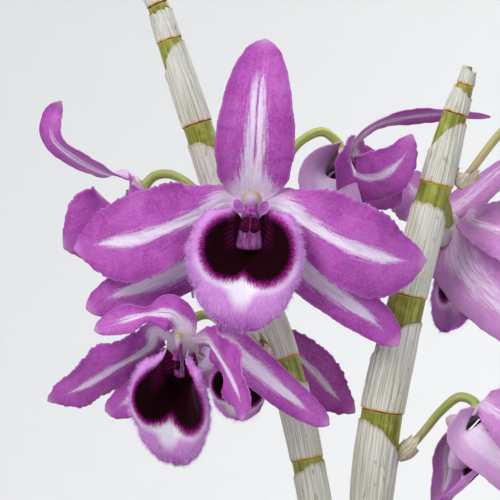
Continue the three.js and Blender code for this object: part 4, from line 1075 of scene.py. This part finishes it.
def add_ears(shape, axes, bloom):
    """The two small folded ears of the lip, one on each side of the column's neck."""
    wide = bloom["lip"][0]
    for (x, y, z), lean in EARS:
        turn = np.array([[math.cos(lean), -math.sin(lean), 0], [math.sin(lean), math.cos(lean), 0], [0, 0, 1]])

        def place(points):
            return axes.place((points @ turn.T) * (wide, 1, 1) + np.array([x * wide, y, z]))

        def folded(local):
            fold = 4 * local[..., 0] ** 2 + 0.25 * np.sin(local[..., 1] * 6)
            return stacked(local[..., 0], local[..., 1], local[..., 2] + fold)

        rim = smooth_step(0.86, 0.98, np.sin(polar_angles(20)))
        shape.ball(place, (0, 0, 0), EAR_RADII, {"ear": 1 - 0.75 * rim, "white": rim, "dark": -1.0}, 20, 28, folded)


def add_lip(number, bloom):
    """A bloom's lip. A much slimmed column is seen from its side, and its lip has no ears."""
    shape, axes = Shape(), BloomAxes(bloom)
    middle, values = lip_surface(bloom, axes)
    wall = np.linspace(0, 1, middle.shape[0])[:, None]
    shape.blade(middle, HALF_THICKNESS["lip"] * (1 - 0.45 * wall ** 6), values)
    if bloom.get("column", 1) > 0.9:
        add_ears(shape, axes, bloom)
    return shape.finish(f"bloom_{number}_lip_fine", lip_material(), "lip", [f"bloom_{number}_lip"])


def add_column(number, bloom):
    """The column: a neck that widens to a two-lobed cap, over a broad foot with a raised line."""
    shape, axes = Shape(), BloomAxes(bloom)
    scale, height = bloom.get("column", 1.0), bloom.get("column_height", 1.0)
    kept = np.array([0, COLUMN["middle"], 0]) * (1 - scale)

    def place(points):
        return axes.place(np.asarray(points, float) * (scale, height, scale) + kept)

    def lobed(local):
        y = local[..., 1] * (1 - 0.3 * bell(local[..., 0], 0.2))
        return stacked(local[..., 0] * (1 - 0.22 * y), y, local[..., 2])

    stations = np.linspace(0, 1, 24)[:, None]
    radius = value_at(COLUMN["radii"], stations) * axes.size * scale
    pale = np.maximum(0.9 * (1 - smooth_step(0.15, 0.7, stations)), bloom.get("column_pale", 0.0))
    shape.tube(Path(place(COLUMN["neck"])), stations[:, 0], radius * (1 + 0.05 * np.cos(round_angles(20) * 2)),
               values={"green": 1 - smooth_step(0.02, 0.3, stations), "pale": pale})
    line = bell(np.sin(polar_angles(36)) * np.cos(round_angles(48)), 0.045) * 0.6
    shape.ball(place, COLUMN["cap_centre"], COLUMN["cap_radii"], {"cap": 1 - line, "line": line}, 36, 48, lobed)
    add_foot(shape, place)
    shape.finish(f"bloom_{number}_column_fine", column_material(), "column", [f"bloom_{number}_column"])


def add_foot(shape, place):
    """The column's foot: a lilac plate, wider towards its lower edge, with a raised middle line."""
    foot = COLUMN_FOOT
    down = np.linspace(0, 1, 30)[:, None]
    across = np.linspace(-1, 1, 31)[None, :]
    line = bell(across, 0.09)
    x = across * (foot["half_width"] + foot["widening"] * smooth_step(0, 1, down))
    y = foot["top"] - foot["length"] * down + 0.35 * across ** 2 * down
    z = foot["front"] - 0.35 * across ** 2 + 0.12 * line - 0.3 * down
    line = np.maximum(line, smooth_step(0.9, 1, down)) * smooth_step(0.25, 0.5, down)
    streaks = 0.1 + 0.1 * np.cos(across * 16)
    shape.blade(place(stacked(x, y, z)), foot["half_thickness"], {"line": line * 0.85, "pale": streaks})


def sleeve(shape, path, along, outer, thickness, values=None):
    """A thin open tube. along and outer give the share of the path's length and the radius at each point."""
    rows, columns = outer.shape
    turn = round_angles(columns)[..., None]
    along = np.broadcast_to(along, outer.shape)
    centre, tangent = path.at(along), path.tangent(along)
    side_way = unit(np.array([1.0, 0, 0]) - tangent * tangent[..., :1])
    depth = np.cross(side_way, tangent)
    spread = np.sin(turn) * side_way + np.cos(turn) * depth
    shape.grid(centre + outer[..., None] * spread, values, wrap=True, flip=True)
    start = shape.count
    shape.grid(centre + (outer - thickness)[..., None] * spread, values, wrap=True)
    ring = np.arange(columns) + start - rows * columns
    ahead = np.roll(ring, -1)
    top, inside = (rows - 1) * columns, rows * columns
    mouth_rim = np.stack([ring + top, ring + top + inside, ahead + top + inside, ahead + top], -1)
    foot_rim = np.stack([ahead, ahead + inside, ring + inside, ring], -1)
    uv = stacked(np.arange(columns) / columns, 1.0)[:, None].repeat(4, 1)
    shape.faces += [mouth_rim, foot_rim]
    shape.uvs += [uv, uv * (1, 0)]


def add_stalk(number, bloom):
    """A flower stalk that swells towards the bloom, in a torn papery bract at its foot."""
    shape, axes = Shape(), BloomAxes(bloom)
    path = Path([*bloom["stalk"], axes.place(RECEPTACLE["centre"])])
    stations = np.linspace(0.01, 0.985, 64)
    radius = value_at(STALK_RADII, stations)[:, None] * (1 + 0.04 * np.cos(round_angles(24) * 5))
    shape.tube(path, stations, radius, 24)
    share, turn = np.linspace(0, 1, 20)[:, None], round_angles(40)
    torn = BRACT["tears"] * ripple(turn / (2 * np.pi) * 3, number, 5, 0.8)
    length = BRACT["length"] + BRACT["slant"] * np.cos(turn - number) + torn
    along = 0.015 + share * length / path.length
    flare = BRACT["flare"] * share ** 2 * (1 + np.cos(turn * 2 + number))
    outer = BRACT["radius"] + BRACT["swell"] * np.sin(share * 1.9) + flare + 0.06 * np.cos(turn * 9)
    sleeve(shape, path, along, outer, BRACT["thickness"], {"bract": 1.0})
    shape.finish(f"bloom_{number}_stalk_fine", stalk_material(), "stalk", [f"bloom_{number}_stalk"])


# ------------------------------------------------------------------ canes and sheaths

def core_radius(cane, height):
    """The cane's radius inside its sheaths."""
    return np.maximum(value_at(cane["radii"], height) - SHEATH_GAP, 0.45)


def add_cane(side):
    """The green cane, ribbed, slimmer inside its sheaths, with a swollen brown node under each ring."""
    cane, sides = CANES[side], 64
    path = Path(cane["through"])
    base, tip = cane["through"][0][2], cane["through"][-1][2]
    heights = np.linspace(base, tip, 620)
    bare = np.zeros_like(heights)
    node_band = np.zeros_like(heights)
    for index, sheath in enumerate(cane["sheaths"]):
        mouth = sheath["top"] - math.hypot(sheath["tilt"], sheath.get("front", 0))
        following = cane["sheaths"][index + 1]["ring"] if index + 1 < len(cane["sheaths"]) else mouth
        rising = smooth_step(mouth - 1.2, mouth + 0.6, heights)
        bare = np.maximum(bare, rising * (heights < following - 0.08))
        node_band = np.maximum(node_band, bell(heights - sheath["ring"] + 0.1, 0.22))
    full = value_at(cane["radii"], heights)
    radius = core_radius(cane, heights) * (1 - bare) + (full * 0.94 + 0.12 * node_band) * bare
    ribs = 0.05 * ripple(round_angles(sides) / (2 * np.pi) * 6, len(side), 4, 0.8)
    shape = Shape()
    values = {"node": node_band[:, None] * 0.9}
    shape.tube(path, path.share_at_height(heights), radius[:, None] + ribs, sides, values)
    shape.finish(f"cane_{side}_fine", cane_material(), "cane", [f"cane_{side}"])


def add_sheath(side, index, sheath, seed):
    """A papery tube on the cane with fine ribs, a tight foot and a rounded oblique mouth with a torn edge."""
    cane = CANES[side]
    path = Path(cane["through"])
    share, turn = np.linspace(0, 1, 60)[:, None], round_angles(120)
    round_share = turn / (2 * np.pi)
    ragged = 0.22 * ripple(round_share * 4, seed, 5, 0.75)
    front = sheath.get("front", 0)
    drop = math.hypot(sheath["tilt"], front)
    peak = math.atan2(sheath["tilt"], front)
    fall = ((1 - np.cos(turn - peak)) / 2) ** sheath.get("round", 1.3)
    mouth = sheath["top"] + drop * (1 - 2 * fall) + ragged
    height = sheath["ring"] + 0.05 * np.sin(turn * 7 + seed) + (mouth - sheath["ring"]) * share
    up = share * (mouth - sheath["ring"])
    foot = bell(up + 0.15 * ripple(round_share * 8, seed + 4, 3), 0.32)
    ribs = 0.055 * np.sin(turn * SHEATH_RIBS + 3 * np.sin(share * 2 + seed)) \
        + 0.05 * ripple(round_share * 5 + share * 0.4, seed + 3, 3)
    outer = core_radius(cane, height) + SHEATH_GAP + ribs * smooth_step(0, 0.06, share)
    outer = outer + 0.1 * np.sin(np.pi * share) ** 0.5 + 0.05 * foot
    outer = outer + 0.1 * smooth_step(0.85, 1, share) * (1 + ripple(round_share * 3, seed + 9, 3))
    values = {"foot": np.clip(foot * 1.1, 0, 1), "mouth": smooth_step(0.955, 1, share)}
    shape = Shape()
    thickness = bpy.context.scene.orchid_stems.sheath_thickness / MM
    sleeve(shape, path, path.share_at_height(height), outer, thickness, values)
    name = f"sheath_{side}_{index}"
    shape.finish(f"{name}_fine", sheath_material(), "sheath", [name])


# ------------------------------------------------------------------ pot, bark and roots

def turned_grid(profile, columns):
    """A profile of (radius, height) turned about +Z."""
    radius, height = np.array(profile, float).T[..., None]
    turn = round_angles(columns)
    return stacked(radius * np.cos(turn), radius * np.sin(turn), height)


def rounded(profile, radius, steps=5):
    """Rounds the inner corners of an open profile."""
    points = [np.array(profile[0], float)]
    for before, corner, after in zip(profile, profile[1:], profile[2:]):
        before, corner, after = (np.array(p, float) for p in (before, corner, after))
        reach = min(radius, 0.45 * np.linalg.norm(corner - before), 0.45 * np.linalg.norm(after - corner))
        start = corner + unit(before - corner) * reach
        end = corner + unit(after - corner) * reach
        for t in np.linspace(0, 1, steps):
            points.append((1 - t) ** 2 * start + 2 * t * (1 - t) * corner + t * t * end)
    return points + [np.array(profile[-1], float)]


def add_roots():
    """A short rhizome and its thick roots."""
    shape = Shape()
    stations = np.linspace(0, 1, 40)
    stem = value_at(RHIZOME["radii"], stations) * (1 + 0.06 * np.cos(stations * 60))
    shape.tube(Path(RHIZOME["through"]), stations, stem[:, None], 24)
    stations = np.linspace(0, 1, 60)
    blunt = rounded_end(stations, 0.03, 0.04)
    for number, points in enumerate(ROOTS):
        radius = ROOT_RADIUS * (1 + 0.07 * ripple(stations * 3, number, 3)) * blunt
        shape.tube(Path(points), stations, radius[:, None])
    shape.finish("rhizome_fine", root_material(), "root", ["rhizome"])


def inner_radius(height):
    """The radius of the pot's inside."""
    if height < INNER_SHOULDER:
        share = (height - POT["floor"]) / (INNER_SHOULDER - POT["floor"])
        return POT["foot"] + (POT["shoulder"] - POT["foot"]) * share - POT["wall"]
    share = (height - INNER_SHOULDER) / (POT["height"] - INNER_SHOULDER)
    return POT["shoulder"] + (POT["rim"] - POT["shoulder"]) * share - POT["wall"]


def strewing_tree(name, inputs):
    """Begins a Geometry Nodes tree with these inputs, a seed and a material, and returns it with their sockets."""
    tree = bpy.data.node_groups.new(name, "GeometryNodeTree")
    for label, kind in {"Geometry": "Geometry", **inputs, "Seed": "Int", "Material": "Material"}.items():
        tree.interface.new_socket(label, in_out="INPUT", socket_type="NodeSocket" + kind)
    tree.interface.new_socket("Geometry", in_out="OUTPUT", socket_type="NodeSocketGeometry")
    return tree, tree.nodes.new("NodeGroupInput").outputs


def vector_maths(tree, operation, first, second=(0, 0, 0), scale=1.0):
    """The result of one step of maths on vectors."""
    inputs = {0: first, 1: second, 3: scale}
    return node(tree, "ShaderNodeVectorMath", inputs, operation=operation).outputs[0]


def scattered(tree, given, density):
    """Random points on the given mesh."""
    inputs = {"Mesh": given["Geometry"], "Density": density, "Seed": given["Seed"]}
    return node(tree, "GeometryNodeDistributePointsOnFaces", inputs).outputs


def any_vector(tree, given, low, high):
    """A random vector for each point."""
    inputs = {0: low, 1: high, "Seed": given["Seed"]}
    return node(tree, "FunctionNodeRandomValue", inputs, data_type="FLOAT_VECTOR").outputs[0]


def planted(tree, given, points, instance, turn, sizes, pick=False):
    """Ends a tree: an instance on each point, turned and scaled, as one dressed mesh."""
    inputs = {2: sizes[0], 3: sizes[1], "Seed": given["Seed"]}
    grow = node(tree, "FunctionNodeRandomValue", inputs, data_type="FLOAT")
    placed = node(tree, "GeometryNodeInstanceOnPoints", {
        "Points": points, "Instance": instance, "Pick Instance": pick, "Rotation": turn, "Scale": grow.outputs[1]})
    real = node(tree, "GeometryNodeRealizeInstances", {0: placed.outputs[0]})
    dressed = node(tree, "GeometryNodeSetMaterial", {"Geometry": real.outputs[0], "Material": given["Material"]})
    node(tree, "NodeGroupOutput", {0: dressed.outputs[0]})
    return tree


def chip_tree():
    """Geometry Nodes: three rough chips, scattered flat over the bark and turned at random."""
    tree, given = strewing_tree("bark_chips", {"Density": "Float", "Chip Length": "Float"})
    reach = node(tree, "ShaderNodeMath", {0: given["Chip Length"], 1: CHIP_ROUGHNESS}, operation="MULTIPLY")
    joined = tree.nodes.new("GeometryNodeJoinGeometry")
    for number, share in enumerate(CHIP_SHAPES):
        size = vector_maths(tree, "SCALE", share, scale=given["Chip Length"])
        cube = node(tree, "GeometryNodeMeshCube", {"Size": size, "Vertices X": 6, "Vertices Y": 5, "Vertices Z": 4})
        rough = node(tree, "ShaderNodeTexNoise", {"Scale": CHIP_GRAIN, "W": float(number), "Detail": 3.0},
                     noise_dimensions="4D")
        centred = vector_maths(tree, "SUBTRACT", rough.outputs["Color"], (0.5, 0.5, 0.5))
        push = vector_maths(tree, "SCALE", centred, scale=reach.outputs[0])
        moved = node(tree, "GeometryNodeSetPosition", {"Geometry": cube.outputs["Mesh"], "Offset": push})
        chip = node(tree, "GeometryNodeGeometryToInstance", {"Geometry": moved.outputs[0]})
        tree.links.new(chip.outputs[0], joined.inputs[0])
    points = scattered(tree, given, given["Density"])
    turn = any_vector(tree, given, (-CHIP_TILT, -CHIP_TILT, 0), (CHIP_TILT, CHIP_TILT, 6.28))
    return planted(tree, given, points["Points"], joined.outputs[0], turn, CHIP_SIZES, pick=True)


def hair_tree():
    """Geometry Nodes: fine tapered hairs on a lip, thickest on its margin and leaning outwards."""
    tree, given = strewing_tree(
        "lip_hairs", {"Density": "Float", "Hair Length": "Float", "Hair Radius": "Float", "Centre": "Vector"})
    fringe = node(tree, "GeometryNodeInputNamedAttribute", {"Name": "fringe"}, data_type="FLOAT")
    amount = node(tree, "ShaderNodeMath", {0: fringe.outputs[0], 1: given["Density"]}, operation="MULTIPLY")
    points = scattered(tree, given, amount.outputs[0])
    cone = node(tree, "GeometryNodeMeshCone", {
        "Vertices": 3, "Side Segments": 2, "Radius Top": HAIR_TIP, "Radius Bottom": given["Hair Radius"],
        "Depth": given["Hair Length"]}, fill_type="NGON")
    place = node(tree, "GeometryNodeInputPosition").outputs[0]
    away = vector_maths(tree, "NORMALIZE", vector_maths(tree, "SUBTRACT", place, given["Centre"]))
    lean = vector_maths(tree, "MULTIPLY", points["Normal"], (HAIR_RISE,) * 3)
    lean = vector_maths(tree, "ADD", lean, away)
    lean = vector_maths(tree, "ADD", lean, any_vector(tree, given, (-HAIR_TANGLE,) * 3, (HAIR_TANGLE,) * 3))
    turn = node(tree, "FunctionNodeAlignEulerToVector", {"Vector": lean}, axis="Z").outputs[0]
    return planted(tree, given, points["Points"], cone.outputs["Mesh"], turn, HAIR_SIZES)


def grown(source, name, tree, inputs):
    """Runs a Geometry Nodes tree on a mesh and returns its result as a plain mesh object."""
    carrier = linked(name + "_carrier", source)
    modifier = carrier.modifiers.new("grown", "NODES")
    modifier.node_group = tree
    for item in tree.interface.items_tree:
        if item.item_type == "SOCKET" and item.in_out == "INPUT" and item.name in inputs:
            modifier[item.identifier] = inputs[item.name]
    carrier.update_tag()
    graph = bpy.context.evaluated_depsgraph_get()
    mesh = bpy.data.meshes.new_from_object(carrier.evaluated_get(graph), depsgraph=graph)
    mesh.name = name
    bpy.data.objects.remove(carrier)
    return linked(name, mesh)


def mix_surface():
    """The bark's body: its sides follow the pot, and its top is uneven."""
    bottom, middle = POT["floor"] + MIX_GAP, 0.05
    edge = inner_radius(MIX_TOP - 1.6) - MIX_GAP
    profile = [(middle, bottom), *((inner_radius(height) - MIX_GAP, height) for height in (bottom, INNER_SHOULDER))]
    profile += [(edge * (1 - ring / 24), MIX_TOP) for ring in range(24)] + [(middle, MIX_TOP)]
    x, y, z = np.moveaxis(turned_grid(profile, 96), -1, 0)
    bump = 0.4 * (np.sin(x * 0.9 + y * 0.4) + np.cos(y * 0.8 - x * 0.3)) - 0.5
    return stacked(x, y, np.where(z > MIX_TOP - 0.3, MIX_TOP + bump, z))


def add_bark():
    """The bark in the pot, and loose chips on it."""
    settings = bpy.context.scene.orchid_pot
    shape = Shape()
    points = mix_surface()
    shape.grid(points, wrap=True)
    shape.cap(points)
    body = shape.finish("bark_mix_fine", bark_material(), "bark", ["bark_mix"])
    body.data.shade_flat()
    top = bpy.data.meshes.new("bark_top")
    spread = turned_grid([(radius, MIX_TOP - 0.5) for radius in (34.5, 22, 6.5)], 48) * MM
    top.from_pydata(spread.reshape(-1, 3).tolist(), [], quads(*spread.shape[:2], wrap=True).tolist())
    inputs = {"Density": settings.chip_density, "Chip Length": settings.chip_length, "Seed": settings.seed,
              "Material": bark_material()}
    tie(grown(top, "bark_chips", chip_tree(), inputs), [])
    bpy.data.meshes.remove(top)


def add_pot():
    """A plain turned pot with a thick rolled band and three drain holes."""
    foot, rim, wall, height = POT["foot"], POT["rim"], POT["wall"], POT["height"]
    profile = rounded([
        (foot - 3, 0), (foot, 0), (POT["shoulder"], POT_SHOULDER), (rim, POT_SHOULDER + 1.5), (rim + 0.8, height - 1),
        (rim, height), (rim - wall, height), (POT["shoulder"] - wall, INNER_SHOULDER), (foot - wall, POT["floor"]),
        (foot - wall - 3, POT["floor"])], 0.7)
    shape = Shape()
    shape.grid(turned_grid(profile, POT_SIDES), wrap=True)
    drained_floor(shape, profile[0][0], profile[-1][0])
    shape.finish("pot_fine", clay_material(), "pot", ["pot"], math.radians(50))


def drained_floor(shape, below, above):
    """The pot's floor with its three drain holes: a wedge round each hole, and a flat middle between them."""
    third = 2 * np.pi / 3
    turn = round_angles(POT_SIDES)[0]
    sector = np.floor(((turn - np.pi / 6) % (2 * np.pi)) / third).astype(int)
    heading = np.pi / 2 + sector * third
    around = heading + np.pi + ((turn - np.pi / 6) % third) / third * 2 * np.pi
    inner = POT["drain_offset"] * stacked(np.cos(heading), np.sin(heading)) \
        + POT["drain_radius"] * stacked(np.cos(around), np.sin(around))
    last = np.flatnonzero(sector != np.roll(sector, -1))
    middle = stacked(last, (last + 1) % POT_SIDES).ravel()
    for height, edge, flip in ((0.0, below, True), (POT["floor"], above, False)):
        outer = stacked(np.cos(turn) * edge, np.sin(turn) * edge)
        shape.grid(stacked(*np.moveaxis(np.stack([outer, inner]), -1, 0), height), wrap=True, flip=flip)
        corners = list(shape.count - POT_SIDES + middle)
        shape.caps.append(corners[::-1] if flip else corners)
    for hole in range(3):
        ring = inner[sector == hole]
        x, y = ring[np.argsort(around[sector == hole])].T
        shape.grid(stacked(x, y, np.array([[0.0], [POT["floor"]]])), wrap=True, flip=True)


# ------------------------------------------------------------------ stage

def add_floor():
    """A pale floor that curves up into a backdrop behind the plant."""
    half, back, bend = FLOOR["half_width"], FLOOR["back"], FLOOR["bend"]
    line = [(FLOOR["front"], 0.0), (back - bend, 0.0)]
    line += [(back - bend + bend * math.sin(a), bend - bend * math.cos(a)) for a in np.linspace(0, math.pi / 2, 24)]
    line.append((back, FLOOR["height"]))
    points = [(x, y, z) for y, z in line for x in (-half, half)]
    faces = [(2 * i, 2 * i + 1, 2 * i + 3, 2 * i + 2) for i in range(len(line) - 1)]
    mesh = bpy.data.meshes.new("studio_floor")
    mesh.from_pydata(points, [], faces)
    mesh.materials.append(floor_material())
    mesh.shade_smooth()
    linked("studio_floor", mesh)


def add_lights(power):
    """The soft lights and the pale surroundings. power is the key light's setting."""
    for name, (place, size, share, colour) in LIGHTS.items():
        light = bpy.data.lights.new(name, "AREA")
        light.shape = "DISK"
        light.size, light.energy, light.color = size, power * share, colour
        lamp = linked(name, light)
        lamp.location = place
        lamp.rotation_euler = (Vector(LIT_POINT) - Vector(place)).to_track_quat("-Z", "Y").to_euler()
    world = bpy.data.worlds.new("studio")
    world.use_nodes = True
    sky = world.node_tree.nodes["Background"].inputs
    sky[0].default_value, sky[1].default_value = SKY
    bpy.context.scene.world = world


def add_camera(distance):
    """A long lens in front of the main bloom, which shows the same width from any distance."""
    data = bpy.data.cameras.new("camera")
    data.sensor_width = CAMERA["sensor_width"]
    data.lens = CAMERA["sensor_width"] / 2 * distance / CAMERA["half_view"]
    data.clip_end = CAMERA["clip_end"]
    camera = linked("camera", data)
    camera.location = (CAMERA["across"], CAMERA["front"] - distance, CAMERA["height"])
    camera.rotation_euler = (math.pi / 2, 0, 0)
    bpy.context.scene.camera = camera


# ------------------------------------------------------------------ operators

class ORCHID_OT_tepals(bpy.types.Operator):
    """Make the five tepals, receptacle and spur of every bloom"""
    bl_idname = "orchid.tepals"
    bl_label = "Tepals"

    def execute(self, context):
        for number, bloom in enumerate(BLOOMS, 1):
            add_tepals(number, bloom)
        return {"FINISHED"}


class ORCHID_OT_lips(bpy.types.Operator):
    """Make every lip, and the hairs on it"""
    bl_idname = "orchid.lips"
    bl_label = "Lips and hairs"

    def execute(self, context):
        settings = context.scene.orchid_flowers
        tree = hair_tree()
        for number, bloom in enumerate(BLOOMS, 1):
            lip = add_lip(number, bloom)
            centre = BloomAxes(bloom).place((0, -4, 2)) * MM
            inputs = {"Density": settings.hair_density * HAIR_SHARE[bloom["detail"]],
                      "Hair Length": settings.hair_length, "Hair Radius": settings.hair_length * HAIR_SLIMNESS,
                      "Seed": settings.seed + number, "Centre": tuple(centre), "Material": hair_material()}
            tie(grown(lip.data, f"bloom_{number}_lip_hairs", tree, inputs), [])
        return {"FINISHED"}


class ORCHID_OT_columns(bpy.types.Operator):
    """Make the column and anther cap of every bloom"""
    bl_idname = "orchid.columns"
    bl_label = "Columns"

    def execute(self, context):
        for number, bloom in enumerate(BLOOMS, 1):
            add_column(number, bloom)
        return {"FINISHED"}


class ORCHID_OT_stalks(bpy.types.Operator):
    """Make the flower stalks with their bracts"""
    bl_idname = "orchid.stalks"
    bl_label = "Flower stalks"

    def execute(self, context):
        for number, bloom in enumerate(BLOOMS, 1):
            add_stalk(number, bloom)
        return {"FINISHED"}


class ORCHID_OT_canes(bpy.types.Operator):
    """Make the two green canes"""
    bl_idname = "orchid.canes"
    bl_label = "Canes"

    def execute(self, context):
        for side in CANES:
            add_cane(side)
        return {"FINISHED"}


class ORCHID_OT_sheaths(bpy.types.Operator):
    """Make the papery sheaths on both canes"""
    bl_idname = "orchid.sheaths"
    bl_label = "Sheaths"

    def execute(self, context):
        for offset, (side, cane) in enumerate(CANES.items()):
            for index, sheath in enumerate(cane["sheaths"], 1):
                add_sheath(side, index, sheath, 50 * offset + index)
        return {"FINISHED"}


class ORCHID_OT_roots(bpy.types.Operator):
    """Make the rhizome and roots"""
    bl_idname = "orchid.roots"
    bl_label = "Rhizome and roots"

    def execute(self, context):
        add_roots()
        return {"FINISHED"}


class ORCHID_OT_bark(bpy.types.Operator):
    """Fill the pot with bark and strew chips on it"""
    bl_idname = "orchid.bark"
    bl_label = "Bark"

    def execute(self, context):
        add_bark()
        return {"FINISHED"}


class ORCHID_OT_pot(bpy.types.Operator):
    """Make the clay pot"""
    bl_idname = "orchid.pot"
    bl_label = "Pot"

    def execute(self, context):
        add_pot()
        return {"FINISHED"}


class ORCHID_OT_studio(bpy.types.Operator):
    """Set up the floor, the soft lights and the camera"""
    bl_idname = "orchid.studio"
    bl_label = "Studio"

    def execute(self, context):
        add_floor()
        add_lights(context.scene.orchid_studio.key_power)
        add_camera(context.scene.orchid_studio.camera_distance)
        context.scene.view_settings.view_transform = "Standard"
        return {"FINISHED"}


class ORCHID_PT_panel(bpy.types.Panel):
    """Lists the orchid's pieces and settings in the sidebar"""
    bl_idname = "ORCHID_PT_panel"
    bl_label = "Orchid"
    bl_space_type = "VIEW_3D"
    bl_region_type = "UI"
    bl_category = "Orchid"

    def draw(self, context):
        for maker in OPERATORS:
            self.layout.operator(maker.bl_idname)
        for name in SETTINGS:
            group = getattr(context.scene, name)
            box = self.layout.box()
            for key in type(group).__annotations__:
                box.prop(group, key)


SETTINGS = {
    "orchid_flowers": FlowerSettings,
    "orchid_stems": StemSettings,
    "orchid_pot": PotSettings,
    "orchid_studio": StudioSettings,
}
OPERATORS = (
    ORCHID_OT_tepals, ORCHID_OT_lips, ORCHID_OT_columns, ORCHID_OT_stalks, ORCHID_OT_canes, ORCHID_OT_sheaths,
    ORCHID_OT_roots, ORCHID_OT_bark, ORCHID_OT_pot, ORCHID_OT_studio,
)


def register():
    for made in (*SETTINGS.values(), *OPERATORS, ORCHID_PT_panel):
        bpy.utils.register_class(made)
    for name, group in SETTINGS.items():
        setattr(bpy.types.Scene, name, PointerProperty(type=group))


def unregister():
    for name in SETTINGS:
        delattr(bpy.types.Scene, name)
    for made in (ORCHID_PT_panel, *reversed(OPERATORS), *reversed(tuple(SETTINGS.values()))):
        bpy.utils.unregister_class(made)


def main():
    register()
    for maker in OPERATORS:
        family, name = maker.bl_idname.split(".")
        getattr(getattr(bpy.ops, family), name)()


if __name__ == "__main__":
    main()
